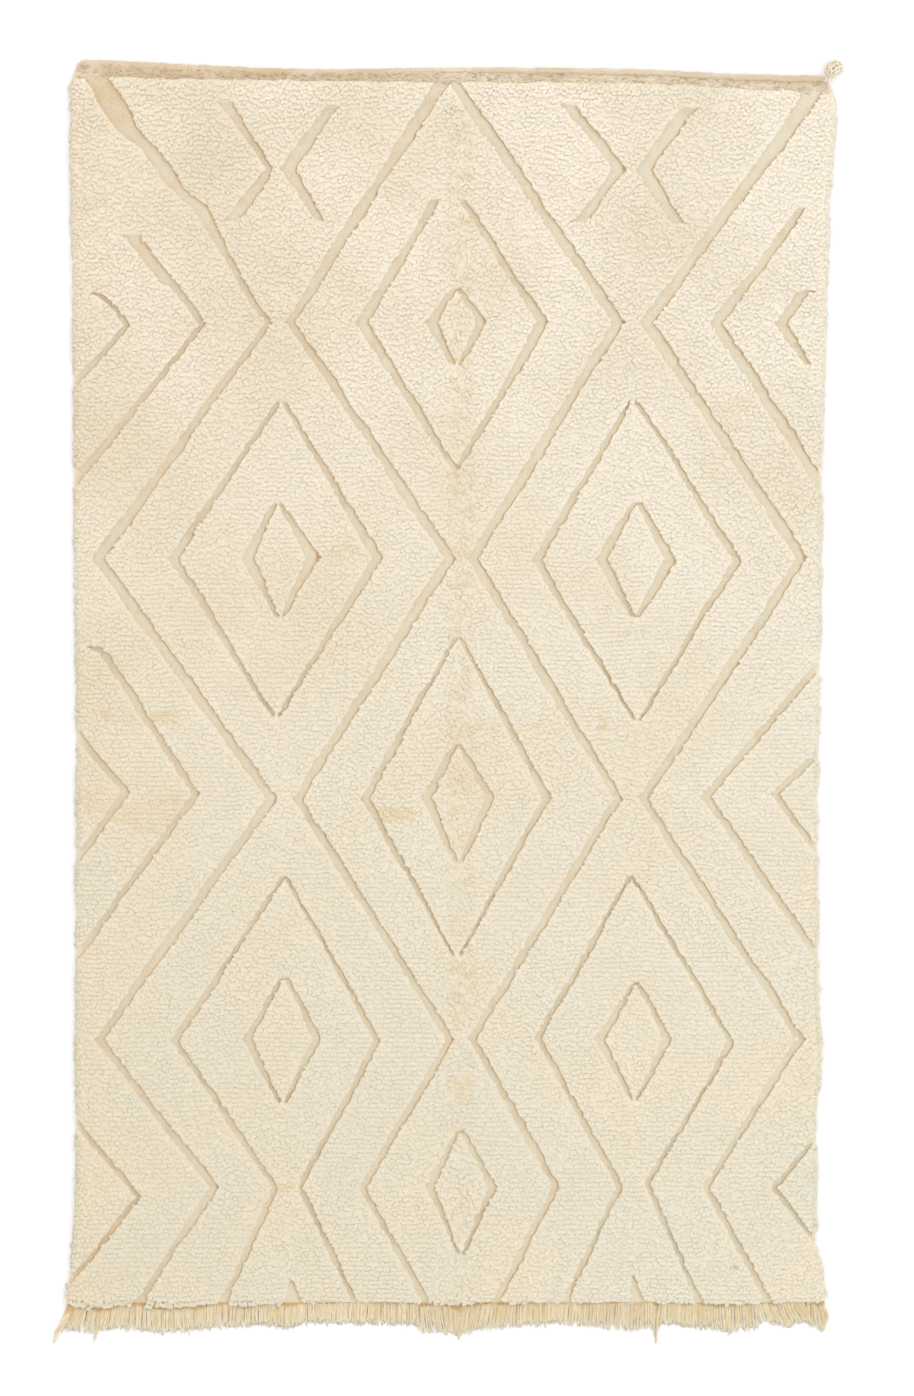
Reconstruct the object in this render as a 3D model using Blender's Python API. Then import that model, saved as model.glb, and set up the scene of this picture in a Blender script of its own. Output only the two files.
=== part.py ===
"""Beni Ourain rug, lying flat: a knotted wool pile rug with its lozenge lines cut down to the weave.

Metres, +Z up, the floor at z = 0.  +Y is the hemmed end and -Y the fringed end.  The tables give
plan positions in millimetres from the middle of the rug.
"""
import math

import bmesh
import bpy
from mathutils import Vector, noise
from mathutils.geometry import delaunay_2d_cdt

MM = 0.001

# Heights above the floor.
PILE_TOP = 0.0172
GROOVE_FLOOR = 0.0055
HEM_TOP = 0.0050
HEM_ROLL_TOP = 0.0085
HEM_FLAT_TOP = 0.0062
FOUNDATION_TOP = 0.0042

# The lumps of the pile, and the shallow trough where the rug was folded down its middle.
PILE_LUMP = 0.0013
FOLD_X = 0.0180
FOLD_WIDTH = 0.0300
FOLD_DEPTH = 0.0012

# The edge: how far the pile spills past the foundation, and the locks along it.
PILE_SPILL = 0.0080
END_SPILL = 0.0120
END_WAVE = 0.0045
HEM_SPILL = 0.0012
LOCK_PITCH = 0.0400
LOCK_REACH = 0.0034
RIM_INSET = 0.0060
RIM_DROP = 0.0022
BULGE_SHARE = 0.45
CORNER_RADIUS = 0.0100
CORNER_STEPS = 3
FOUNDATION_END = -1.2560
HEM_CORNERS = (-0.770, 0.780)
HEM_ROLL_FROM = -0.020

# Grooves.  Their width is measured across the rug, wide at the hem end and narrow at the fringe end.
GROOVE_WIDE = 0.0310
GROOVE_NARROW = 0.0150
GROOVE_WALL = 0.0034
GROOVE_CAP = 0.0045
GROOVE_WAVER = 0.0024
GROOVE_SWELL = 0.16
GROOVE_STEP = 0.0560
BLUNT_TIP = 0.62
SHARP_TIP = 0.42
LIMB_GAP = 3
PAST_SIDE = 800
PAST_END = -1270
LUMP_SPACING = 0.0640
LUMP_ROW = 0.0557
CLEAR_OF_GROOVE = 0.0150
MERGE_GAP = 0.0004

# Fringe: a strip under the pile's edge, with cut warp ends lying on the floor.
STRIP_ENDS = (-0.7970, 0.7900)
STRIP_DEPTH = 0.0110
STRIP_HEIGHT = 0.0026
FIRST_STRAND, LAST_STRAND = -0.7740, 0.7860
STRAND_PITCH = 0.0087
STRAND_WIDTH = 0.0068
STRAND_HEIGHT = 0.0044
STRAND_LEAN = 0.0062
STRAND_UNEVEN = 0.0035
STRAND_CROWN = 0.68
STRAND_TIP_WIDTH = 0.55
STRAND_TIP_HEIGHT = 0.50
SELVEDGE_X = -0.7890
SELVEDGE_WIDTH = 0.0140
PART_GAP = 0.0003

# Corner tassel, the tied end of the heading cord.
TASSEL_CENTRE = (0.8119, 1.3305, 0.0100)
TASSEL_HEAD = 0.0130
TASSEL_LOCK = 0.0075
TASSEL_LUMP = 0.14
TASSEL_FLATNESS = 0.78
LOCK_TAPER = 0.66
NECK_FROM = 0.80
NECK_ROUND = 0.0100
NECK_WIDTH = 0.72
FLOOR_SNAP = 0.0022

# Kinds of hand-made unevenness: pitch in metres, and a layer that keeps one kind from another.
LINE_WAVER = (0.110, 0)
LINE_SWELL = (0.080, 300)
PILE_ROLL = (0.160, 601)
PILE_CLUMPS = (0.070, 602)
LATTICE_SHIFT = (0.090, 603)
SPILL_WAVE = (0.100, 604)
LOCK_CHANGE = (0.050, 605)
STRAND_ENDS = (0.0073, 606)
STRAND_SWAY = (0.190, 607)
STRAND_BODY = (0.0062, 608)
TASSEL_LUMPS = (0.008, 609)
TASSEL_LENGTHS = (0.006, 610)

# The edge of the pile down each side of the rug: level y, x there.
LEFT_SIDE = [
    (1345, -776), (1317, -790), (1195, -794), (844, -787), (342, -785), (0, -780),
    (-220, -781), (-689, -783), (-1006, -781), (-1203, -794), (-1275, -808),
]
RIGHT_SIDE = [
    (1312, 794), (1285, 810), (1247, 817), (1046, 800), (752, 794), (617, 787), (214, 783),
    (-206, 776), (-670, 779), (-748, 785), (-865, 774), (-1136, 773), (-1195, 787), (-1275, 799),
]
# The hemmed end: place x, outer edge y, and the line y where the pile begins.
HEM_END = [
    # x, edge, pile
    (-800, 1346, 1309), (-714, 1344, 1312), (-573, 1337, 1308), (-400, 1328, 1306),
    (-218, 1325, 1304), (0, 1329, 1300), (240, 1328, 1301), (420, 1325, 1299),
    (569, 1317, 1291), (700, 1313, 1284), (830, 1312, 1277),
]

# The four groove lines that zigzag down the whole rug and set out its big lozenges.
ZIGZAGS = [
    # level, outer left, inner left, inner right, outer right
    (1316, -727, -5, 17, 795),
    (798, -378, -330, 359, 418),
    (302, -735, 4, 52, 745),
    (-203, -370, -317, 357, 410),
    (-708, -733, 4, 52, 739),
    (-1020, -491, -179, 227, 542),
    (-1290, -669, -29, 84, 690),
]
ZIGZAG_WIDTHS = (1.20, 1.0, 1.0, 1.05)

# Closed lozenges: axis x and level y of the side points, half width, reach up and down, lean of
# the tips, and the width of the line against the rule.
LOZENGES = [
    # x, y, half_width, up, down, lean, width
    (18, 798, 53, 74, 92, 0, 1.05),
    (17, -202, 191, 342, 334, 4, 0.90),
    (22, -200, 66, 116, 140, -3, 1.10),
    (28, -1020, 66, 122, 142, -3, 1.25),
    (-362, 302, 215, 332, 336, 12, 0.95),
    (-353, 303, 69, 118, 128, -6, 1.10),
    (-348, -708, 74, 132, 138, 4, 1.15),
    (397, 298, 210, 338, 338, -6, 0.90),
    (395, 300, 73, 122, 126, 2, 1.15),
    (391, -708, 71, 122, 130, 3, 1.15),
]

# Open lines: the width against the rule, then start, turns and end, each (x, y).  A line that
# starts or ends past the edge runs out through it.
OPEN_LINES = [
    # width, points
    (1.00, [(-23, 1058), (-180, 796), (15, 486)]),
    (0.95, [(27, 1058), (200, 800), (19, 486)]),
    (0.95, [(-344, -363), (-573, -712), (-363, -1020), (-484, -1290)]),
    (0.80, [(-344, -363), (-147, -710), (-313, -1020), (-180, -1290)]),
    (0.85, [(384, -363), (189, -706), (361, -1018), (233, -1290)]),
    (0.80, [(384, -363), (596, -714), (418, -1010), (540, -1290)]),
    (0.90, [(-748, 863), (-683, 798), (-820, 634)]),
    (1.05, [(-664, 979), (-523, 794), (-820, 420)]),
    (0.95, [(-761, 127), (-738, 112), (-531, -195), (-820, -590)]),
    (0.90, [(-820, -20), (-676, -189), (-820, -390)]),
    (0.90, [(-820, -838), (-649, -1040), (-830, -1262)]),
    (1.05, [(748, 1040), (565, 796), (820, 404)]),
    (0.95, [(830, 872), (739, 858), (698, 796), (830, 620)]),
    (1.00, [(830, 140), (542, -200), (830, -610)]),
    (0.90, [(830, -60), (685, -193), (830, -386)]),
    (0.90, [(830, -850), (685, -1020), (830, -1215)]),
    (1.05, [(-475, 1260), (-378, 1121), (-458, 1008)]),
    (1.10, [(-233, 1254), (-336, 1119), (-267, 1008)]),
    (1.05, [(254, 1254), (361, 1119), (269, 1006)]),
    (1.15, [(523, 1254), (412, 1119), (489, 999)]),
    (1.30, [(-330, -1216), (-326, -1290)]),
    (1.30, [(389, -1201), (393, -1290)]),
]

# Cut ends of the fringe: place x, level y that the strands reach there.
FRINGE_ENDS = [
    (-800, -1322), (-733, -1328), (-680, -1318), (-600, -1329), (-410, -1312), (-336, -1322),
    (-292, -1309), (-110, -1312), (-59, -1328), (19, -1332), (80, -1322), (221, -1309),
    (386, -1323), (460, -1310), (594, -1329), (661, -1318), (740, -1309), (777, -1325), (800, -1312),
]
LONG_STRANDS = {-733: -1341, 441: -1348}
STRAND_MISSING = 752
# The thick warp bundle of the left selvedge: centre x, y, width and height of each section.
SELVEDGE_LOCK = [
    (-797, -1282, 15, 8), (-808, -1303, 15, 9), (-821, -1327, 14, 7), (-830, -1350, 7, 4),
]


def value_at(table, place, column=1):
    """Straight-line value in a table sorted by its first column, either way round."""
    rows = table if table[0][0] < table[-1][0] else table[::-1]
    if place <= rows[0][0]:
        return rows[0][column]
    for low, high in zip(rows, rows[1:]):
        if place <= high[0]:
            share = (place - low[0]) / (high[0] - low[0])
            return low[column] + (high[column] - low[column]) * share
    return rows[-1][column]


def clamp(share, low=0.0, high=1.0):
    return max(low, min(high, share))


def uneven(kind, x, y, copy=0):
    """Smooth unevenness of one kind, between -1 and 1, at a place in metres."""
    pitch, layer = kind
    strength, layer_gap = 1.8, 7.3
    return clamp(strength * noise.noise(Vector((x / pitch, y / pitch, (layer + copy) * layer_gap))), -1.0)


def nudged(start, end, share):
    return [a + (b - a) * share for a, b in zip(start, end)]


# ---------------------------------------------------------------- grooves

def groove_width(y):
    """The width of a line at level y: it narrows towards the fringe end."""
    hem, fringe = HEM_END[0][1] * MM, FOUNDATION_END
    return GROOVE_NARROW + (GROOVE_WIDE - GROOVE_NARROW) * clamp((y - fringe) / (hem - fringe))


def groove(points, width, copy, open_start=False, open_end=False, tip=BLUNT_TIP):
    """One groove line as stations down the rug: level y, centre x and half width there."""
    stations = []
    for start, end in zip(points, points[1:]):
        steps = max(1, math.ceil((start[1] - end[1]) * MM / GROOVE_STEP))
        last = 1 if end == points[-1] else 0
        for step in range(steps + last):
            x, y = (value * MM for value in nudged(start, end, step / steps))
            x += GROOVE_WAVER * uneven(LINE_WAVER, x, y, copy)
            swell = 1 + GROOVE_SWELL * uneven(LINE_SWELL, x, y, copy)
            stations.append([y, x, 0.5 * width * groove_width(y) * swell])
    if not open_start:
        stations[0][2] *= tip
        share = GROOVE_CAP / (stations[0][0] - stations[1][0])
        stations.insert(1, nudged(stations[0], stations[1], share))
    if not open_end:
        stations[-1][2] *= tip
        share = GROOVE_CAP / (stations[-2][0] - stations[-1][0])
        stations.insert(-1, nudged(stations[-1], stations[-2], share))
    return {"stations": stations, "open_start": open_start, "open_end": open_end}


def all_grooves():
    """Every groove line of the pattern, each with its own unevenness."""
    grooves = []
    for column, width in enumerate(ZIGZAG_WIDTHS, start=1):
        points = [(row[column], row[0]) for row in ZIGZAGS]
        grooves.append(groove(points, width, len(grooves), True, True))
    for x, y, half_width, up, down, lean, width in LOZENGES:
        for side in (-1, 1):
            foot = x + side * LIMB_GAP
            points = [(foot + lean, y + up), (x + side * half_width, y), (foot, y - down)]
            grooves.append(groove(points, width, len(grooves), tip=SHARP_TIP))
    for width, points in OPEN_LINES:
        runs_out = [abs(x) >= PAST_SIDE or y < PAST_END for x, y in (points[0], points[-1])]
        grooves.append(groove(points, width, len(grooves), *runs_out))
    return grooves


def cut_by(line, x, y):
    """How far one groove cuts down a plan point: 0 outside it, 1 on its floor."""
    stations = line["stations"]
    first, last = stations[0][0], stations[-1][0]
    if y > first or y < last:
        return 0.0
    centre, half = value_at(stations, y, 1), value_at(stations, y, 2)
    share = (half - abs(x - centre)) / GROOVE_WALL
    if not line["open_start"]:
        share = min(share, (first - y) / GROOVE_CAP)
    if not line["open_end"]:
        share = min(share, (y - last) / GROOVE_CAP)
    return clamp(share)


def hem_cut(x, y):
    """1 on the flat-woven hem, 0 on the pile."""
    pile_line = value_at(HEM_END, x / MM, 2) * MM
    return clamp((y - pile_line) / GROOVE_WALL)


def cut_at(grooves, x, y):
    return max([hem_cut(x, y)] + [cut_by(line, x, y) for line in grooves])


def pile_height(x, y):
    """The lumpy top of the pile, lower along the fold down the middle."""
    lump = 0.6 * uneven(PILE_ROLL, x, y) + 0.4 * uneven(PILE_CLUMPS, x, y)
    fold = math.exp(-((x - FOLD_X) / FOLD_WIDTH) ** 2)
    return PILE_TOP + PILE_LUMP * lump - FOLD_DEPTH * fold


def top_height(grooves, x, y):
    cut = cut_at(grooves, x, y)
    floor = HEM_TOP if hem_cut(x, y) > 0.5 else GROOVE_FLOOR
    return pile_height(x, y) * (1 - cut) + floor * cut


def groove_lines(grooves):
    """Plan points and joining edges of the lip and the floor line on both sides of every groove."""
    points, edges = [], []

    def add_line(line):
        start = len(points)
        points.extend(line)
        edges.extend((i, i + 1) for i in range(start, len(points) - 1))
        return start, len(points) - 1

    for line in grooves:
        stations = line["stations"]
        first = 0 if line["open_start"] else 1
        last = len(stations) if line["open_end"] else -1
        for part, wall in ((stations, 0.0), (stations[first:last], GROOVE_WALL)):
            left, right = (add_line([(x + side * (half - wall), y) for y, x, half in part])
                           for side in (-1, 1))
            if not line["open_start"]:
                edges.append((left[0], right[0]))
            if not line["open_end"]:
                edges.append((left[1], right[1]))
    count = math.ceil(2 * PAST_SIDE * MM / LOCK_PITCH) + 4
    for shift in (0.0, GROOVE_WALL):
        places = [(i - count / 2) * LOCK_PITCH for i in range(count + 1)]
        add_line([(x, value_at(HEM_END, x / MM, 2) * MM + shift) for x in places])
    return points, edges


def inside(loop, x, y):
    """Even-odd test of a plan point in a closed loop."""
    hit = False
    for (x0, y0), (x1, y1) in zip(loop, loop[1:] + loop[:1]):
        if (y0 > y) != (y1 > y) and x < x0 + (x1 - x0) * (y - y0) / (y1 - y0):
            hit = not hit
    return hit


def lump_points(grooves, rim):
    """A staggered lattice over the pile, clear of grooves and rim, that carries its lumps."""
    points = []
    rows = math.ceil((HEM_END[0][1] * MM - FOUNDATION_END) / LUMP_ROW)
    half_row = math.ceil((PAST_SIDE * MM) / LUMP_SPACING)
    around = [(dx * CLEAR_OF_GROOVE, dy * CLEAR_OF_GROOVE) for dx in (-1, 0, 1) for dy in (-1, 0, 1)]
    for row in range(1, rows):
        y = HEM_END[0][1] * MM - row * LUMP_ROW
        for column in range(-half_row, half_row + 1):
            x = (column + 0.5 * (row % 2)) * LUMP_SPACING
            x += 0.25 * LUMP_SPACING * uneven(LATTICE_SHIFT, x, y)
            if any(cut_at(grooves, x + dx, y + dy) > 0 for dx, dy in around):
                continue
            rim_gap = min(math.hypot(x - px, y - py) for px, py in rim)
            if inside(rim, x, y) and rim_gap > CLEAR_OF_GROOVE:
                points.append((x, y))
    return points


# ---------------------------------------------------------------- outline and rug

def left_foot(y):
    return value_at(LEFT_SIDE, y / MM) * MM + PILE_SPILL


def right_foot(y):
    return value_at(RIGHT_SIDE, y / MM) * MM - PILE_SPILL


def hem_foot(x):
    return value_at(HEM_END, x / MM, 1) * MM - HEM_SPILL


def corner_arc(x, y, turn):
    """Points of a quarter circle about a corner's centre, from the angle turn on."""
    angles = [turn + 0.5 * math.pi * step / CORNER_STEPS for step in range(CORNER_STEPS + 1)]
    return [(x + CORNER_RADIUS * math.cos(a), y + CORNER_RADIUS * math.sin(a)) for a in angles]


def between(start, end, step):
    """Evenly spaced values between two, without them."""
    count = round(abs(end - start) / step)
    return [start + (end - start) * i / count for i in range(1, count)]


def foot_outline():
    """The foundation's edge in plan, anticlockwise from the top left, a point for each half lock."""
    step = LOCK_PITCH / 2
    bottom = FOUNDATION_END + CORNER_RADIUS
    top_left, top_right = (hem_foot(x) - CORNER_RADIUS for x in HEM_CORNERS)
    bottom_x = left_foot(bottom) + CORNER_RADIUS, right_foot(bottom) - CORNER_RADIUS
    top_x = left_foot(top_left) + CORNER_RADIUS, right_foot(top_right) - CORNER_RADIUS
    outline = [(left_foot(y), y) for y in between(top_left, bottom, step)]
    outline += corner_arc(bottom_x[0], bottom, math.pi)
    outline += [(x, FOUNDATION_END) for x in between(*bottom_x, step)]
    outline += corner_arc(bottom_x[1], bottom, 1.5 * math.pi)
    outline += [(right_foot(y), y) for y in between(bottom, top_right, step)]
    outline += corner_arc(top_x[1], top_right, 0.0)
    outline += [(x, hem_foot(x)) for x in between(top_x[1], top_x[0], LOCK_PITCH)]
    outline += corner_arc(top_x[0], top_left, 0.5 * math.pi)
    return outline


def rim_stations(grooves):
    """Round the edge: the foot, the widest point and the top rim in plan at each station."""
    feet = foot_outline()
    stations = []
    for i, (x, y) in enumerate(feet):
        along = (Vector(feet[(i + 1) % len(feet)]) - Vector(feet[i - 1])).normalized()
        out = Vector((along.y, -along.x))
        at_end = clamp(-out.y) if y < FOUNDATION_END + CORNER_RADIUS else 0.0
        spill = PILE_SPILL + (END_SPILL - PILE_SPILL) * at_end
        spill += END_WAVE * at_end * uneven(SPILL_WAVE, x, 0)
        peak = 0.6 if i % 2 else -0.6
        lock = LOCK_REACH * (peak + 0.7 * uneven(LOCK_CHANGE, x, y))
        cut = cut_at(grooves, x, y)
        reach = (spill + lock) * (1 - cut) + HEM_SPILL * cut * (1 - at_end)
        inset = RIM_INSET if cut < 0.5 else 0.5 * RIM_INSET
        foot = Vector((x, y))
        stations.append({"foot": foot, "wide": foot + out * reach, "rim": foot + out * (reach - inset)})
    return stations


def on_rim(stations, point):
    """Foot and widest point, in plan, of the rim segment that a boundary point lies on."""
    nearest = None
    for here, after in zip(stations, stations[1:] + stations[:1]):
        along = after["rim"] - here["rim"]
        share = clamp((point - here["rim"]).dot(along) / along.length_squared)
        gap = (here["rim"] + along * share - point).length
        if nearest is None or gap < nearest[0]:
            nearest = (gap, here, after, share)
    _, here, after, share = nearest
    return here["foot"].lerp(after["foot"], share), here["wide"].lerp(after["wide"], share)


def boundary_loop(mesh):
    """Vertices of the mesh's one boundary, in order, anticlockwise from above."""
    left = {edge for edge in mesh.edges if edge.is_boundary}
    edge = left.pop()
    loop = [edge.verts[0], edge.verts[1]]
    while left:
        edge = next(e for e in loop[-1].link_edges if e in left)
        left.remove(edge)
        loop.append(edge.other_vert(loop[-1]))
    loop.pop()
    area = sum(a.co.x * b.co.y - b.co.x * a.co.y for a, b in zip(loop, loop[1:] + loop[:1]))
    return loop if area > 0 else loop[::-1]


def edge_height(vert):
    """Height of the rim: the rolled cord or the flat edge of the hem, or the rounded-down pile."""
    if hem_cut(vert.co.x, vert.co.y) > 0.5:
        return HEM_ROLL_TOP if vert.co.x > HEM_ROLL_FROM else HEM_FLAT_TOP
    return vert.co.z - RIM_DROP if vert.co.z > 2 * FOUNDATION_TOP else vert.co.z


def build_rug(grooves, stations, material):
    """The rug as one closed solid: carved pile on top, bulging shaggy edges, flat underside."""
    rim = [tuple(station["rim"]) for station in stations]
    points, edges = groove_lines(grooves)
    outline = list(range(len(points), len(points) + len(rim)))
    points += rim + lump_points(grooves, rim)
    plan = delaunay_2d_cdt([Vector(p) for p in points], edges, [outline], 1, MERGE_GAP)

    mesh = bmesh.new()
    tops = [mesh.verts.new((p.x, p.y, top_height(grooves, p.x, p.y))) for p in plan[0]]
    for face in plan[2]:
        mesh.faces.new([tops[i] for i in face])
    bmesh.ops.delete(mesh, geom=[v for v in mesh.verts if not v.link_faces], context="VERTS")

    rings = [boundary_loop(mesh), [], [], []]
    for vert in rings[0]:
        foot, wide = on_rim(stations, vert.co.xy)
        vert.co.z = edge_height(vert)
        foot_z = min(FOUNDATION_TOP, 0.6 * vert.co.z)
        wide_z = foot_z + BULGE_SHARE * (vert.co.z - foot_z)
        for ring, place, z in zip(rings[1:], (wide, foot, foot), (wide_z, foot_z, 0.0)):
            ring.append(mesh.verts.new((*place, z)))
    count = len(rings[0])
    for upper, lower in zip(rings, rings[1:]):
        for i in range(count):
            after = (i + 1) % count
            mesh.faces.new((upper[i], lower[i], lower[after], upper[after]))
    mesh.faces.new(list(reversed(rings[-1])))
    return finish(mesh, "rug", material)


# ---------------------------------------------------------------- fringe

def strand_end(x, number):
    """The level that one strand reaches."""
    for place, reach in LONG_STRANDS.items():
        if abs(x - place * MM) < 0.5 * STRAND_PITCH:
            return reach * MM
    cut = STRAND_UNEVEN * uneven(STRAND_ENDS, number * STRAND_ENDS[0] * 1.2, 0)
    return value_at(FRINGE_ENDS, x / MM) * MM + cut


def strand_rows(front):
    """Root place, width and sections of every strand, from left to right."""
    selvedge = [[value * MM for value in row] for row in SELVEDGE_LOCK]
    rows = [(SELVEDGE_X, SELVEDGE_WIDTH, selvedge)]
    count = round((LAST_STRAND - FIRST_STRAND) / STRAND_PITCH)
    for i in range(count + 1):
        x = FIRST_STRAND + (LAST_STRAND - FIRST_STRAND) * i / count
        if abs(x - STRAND_MISSING * MM) < 0.6 * STRAND_PITCH:
            continue
        end = strand_end(x, i)
        lean = STRAND_LEAN * uneven(STRAND_SWAY, x, 0)
        height = STRAND_HEIGHT * (1 + 0.2 * uneven(STRAND_BODY, i * STRAND_PITCH, 0))
        sections = [
            (x + 0.4 * lean, 0.5 * (front + end), STRAND_WIDTH, height),
            (x + lean, end, STRAND_TIP_WIDTH * STRAND_WIDTH, STRAND_TIP_HEIGHT * STRAND_HEIGHT),
        ]
        rows.append((x, STRAND_WIDTH, sections))
    return rows


def draw_out(mesh, ring, sections):
    """Draw a four-sided strand out of a ring of the strip, one section after another."""
    for x, y, width, height in sections:
        wide, narrow = 0.5 * width, 0.5 * STRAND_CROWN * width
        profile = [(-wide, 0), (wide, 0), (narrow, height), (-narrow, height)]
        following = [mesh.verts.new((x + dx, y, z)) for dx, z in profile]
        for side in range(4):
            other = (side + 1) % 4
            mesh.faces.new((ring[side], ring[other], following[other], following[side]))
        ring = following
    mesh.faces.new(ring)


def build_fringe(material):
    """The strip under the pile's edge, and the strands drawn out of cells of its front."""
    back = FOUNDATION_END - PART_GAP
    front = back - STRIP_DEPTH
    rows = strand_rows(front)
    marks = [STRIP_ENDS[0]]
    for x, width, _ in rows:
        marks += [x - 0.5 * width, x + 0.5 * width]
    marks.append(STRIP_ENDS[1])
    mesh = bmesh.new()
    low, high = ([mesh.verts.new((x, front, z)) for x in marks] for z in (0, STRIP_HEIGHT))
    low_back, high_back = ([mesh.verts.new((x, back, z)) for x in STRIP_ENDS] for z in (0, STRIP_HEIGHT))
    mesh.faces.new(low_back + low[::-1])
    mesh.faces.new(high_back + high[::-1])
    mesh.faces.new(low_back + high_back[::-1])
    for end in (0, -1):
        mesh.faces.new((low[end], high[end], high_back[end], low_back[end]))
    for i in range(0, len(marks) - 1, 2):
        mesh.faces.new((low[i], low[i + 1], high[i + 1], high[i]))
    for i, (_, _, sections) in enumerate(rows):
        left, right = 2 * i + 1, 2 * i + 2
        draw_out(mesh, [low[left], low[right], high[right], high[left]], sections)
    return finish(mesh, "warp_fringe", material)


# ---------------------------------------------------------------- corner tassel

def tassel_seat(stations):
    """A point just off the hem's right corner, level with the widest part of its edge."""
    outward = Vector((0.6, 0.8))
    corner = max((station["wide"] for station in stations), key=outward.dot)
    height = FOUNDATION_TOP + BULGE_SHARE * (HEM_ROLL_TOP - FOUNDATION_TOP)
    return Vector((*(corner + outward * PART_GAP), height))


def shape_head(mesh, to_seat):
    """Lump and flatten a ball, and draw its side that faces the hem out into a neck."""
    toward, reach = to_seat.normalized(), to_seat.length
    facings = {vert: vert.co.normalized().dot(toward) for vert in mesh.verts}
    foremost = max(facings.values())
    for vert, facing in facings.items():
        vert.co *= 1 + TASSEL_LUMP * uneven(TASSEL_LUMPS, vert.co.x, vert.co.y + vert.co.z)
        vert.co.z *= TASSEL_FLATNESS
        if facing > NECK_FROM:
            aside = vert.co - toward * vert.co.dot(toward)
            aside *= NECK_WIDTH if facing < foremost else 0.0
            vert.co = toward * (reach - NECK_ROUND * (foremost - facing)) + aside


def draw_lock(mesh, face, normal):
    """Draw one face of the head out into a short tapered lock."""
    lock = bmesh.ops.extrude_discrete_faces(mesh, faces=[face])["faces"][0]
    middle = lock.calc_center_median()
    length = TASSEL_LOCK * (1 + 0.35 * uneven(TASSEL_LENGTHS, middle.x, middle.y))
    drawn = Vector((normal.x, normal.y, normal.z * TASSEL_FLATNESS)) * length
    for vert in lock.verts:
        vert.co = middle + (vert.co - middle) * LOCK_TAPER + drawn


def build_tassel(stations, material):
    """A ragged knot of wool on a short neck."""
    centre = Vector(TASSEL_CENTRE)
    to_seat = tassel_seat(stations) - centre
    mesh = bmesh.new()
    bmesh.ops.create_icosphere(mesh, subdivisions=2, radius=TASSEL_HEAD)
    mesh.normal_update()
    upper = [face for face in mesh.faces if face.normal.z > -0.35]
    free = [face for face in upper if face.normal.dot(to_seat.normalized()) < 0.45]
    locks = [(face, face.normal.copy()) for face in free[::2]]
    shape_head(mesh, to_seat)
    for face, normal in locks:
        draw_lock(mesh, face, normal)
    for vert in mesh.verts:
        vert.co += centre
        if vert.co.z < FLOOR_SNAP:
            vert.co.z = 0.0
    return finish(mesh, "corner_tassel", material)


# ---------------------------------------------------------------- finish

def wool(name, colour, roughness):
    """Undyed wool: a matt Principled surface of one sRGB colour."""
    material = bpy.data.materials.new(name)
    material.use_nodes = True
    shader = material.node_tree.nodes["Principled BSDF"]
    linear = [((c / 255 + 0.055) / 1.055) ** 2.4 for c in bytes.fromhex(colour)]
    shader.inputs["Base Color"].default_value = (*linear, 1.0)
    shader.inputs["Roughness"].default_value = roughness
    shader.inputs["Metallic"].default_value = 0.0
    return material


def finish(mesh, name, material):
    """Close up the mesh's normals, cut it to triangles and make its object, soft-shaded."""
    bmesh.ops.recalc_face_normals(mesh, faces=mesh.faces)
    bmesh.ops.triangulate(mesh, faces=mesh.faces, ngon_method="BEAUTY")
    middle = sum((vert.co for vert in mesh.verts), Vector()) / len(mesh.verts)
    origin = Vector((round(middle.x, 3), round(middle.y, 3), 0.0))
    bmesh.ops.translate(mesh, verts=mesh.verts, vec=-origin)
    data = bpy.data.meshes.new(name)
    mesh.to_mesh(data)
    mesh.free()
    data.materials.append(material)
    data.shade_smooth()
    data.set_sharp_from_angle(angle=math.radians(40))
    thing = bpy.data.objects.new(name, data)
    thing.location = origin
    bpy.context.collection.objects.link(thing)
    return thing


for old in list(bpy.data.objects):
    bpy.data.objects.remove(old, do_unlink=True)

pile_wool = wool("ivory_pile_wool", "EBDFC9", 0.95)
warp_wool = wool("straw_warp_wool", "DFCDAB", 0.92)
cord_wool = wool("heading_cord_wool", "E2D3B2", 0.93)

lines = all_grooves()
edge = rim_stations(lines)
build_rug(lines, edge, pile_wool)
build_fringe(warp_wool)
build_tassel(edge, cord_wool)
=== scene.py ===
"""Beni Ourain rug: a hand-knotted ivory wool rug lying flat, seen from straight above.

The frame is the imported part's: metres, +Y towards the flat-woven hem, -Y towards the fringe, +Z up
out of the pile, and the floor at z = 0.
"""
import math

import bmesh
import bpy
import numpy as np
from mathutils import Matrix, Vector, noise
from mathutils.geometry import delaunay_2d_cdt


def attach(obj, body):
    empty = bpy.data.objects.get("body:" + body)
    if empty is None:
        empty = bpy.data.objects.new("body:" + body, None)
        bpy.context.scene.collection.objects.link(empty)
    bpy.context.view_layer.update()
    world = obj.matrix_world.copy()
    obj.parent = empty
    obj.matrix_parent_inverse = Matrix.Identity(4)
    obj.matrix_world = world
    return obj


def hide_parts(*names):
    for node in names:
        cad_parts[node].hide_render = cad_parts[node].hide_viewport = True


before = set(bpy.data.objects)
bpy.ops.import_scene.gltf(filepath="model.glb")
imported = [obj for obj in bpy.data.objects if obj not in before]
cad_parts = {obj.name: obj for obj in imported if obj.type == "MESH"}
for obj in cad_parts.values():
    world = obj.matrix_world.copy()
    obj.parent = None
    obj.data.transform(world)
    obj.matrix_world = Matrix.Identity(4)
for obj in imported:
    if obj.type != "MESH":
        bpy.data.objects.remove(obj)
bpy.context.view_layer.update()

# ---------------------------------------------------------------- camera, light and floor
# The rug is photographed from straight above with a long lens, on plain white, with soft studio
# light that comes mostly from the upper right.

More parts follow.
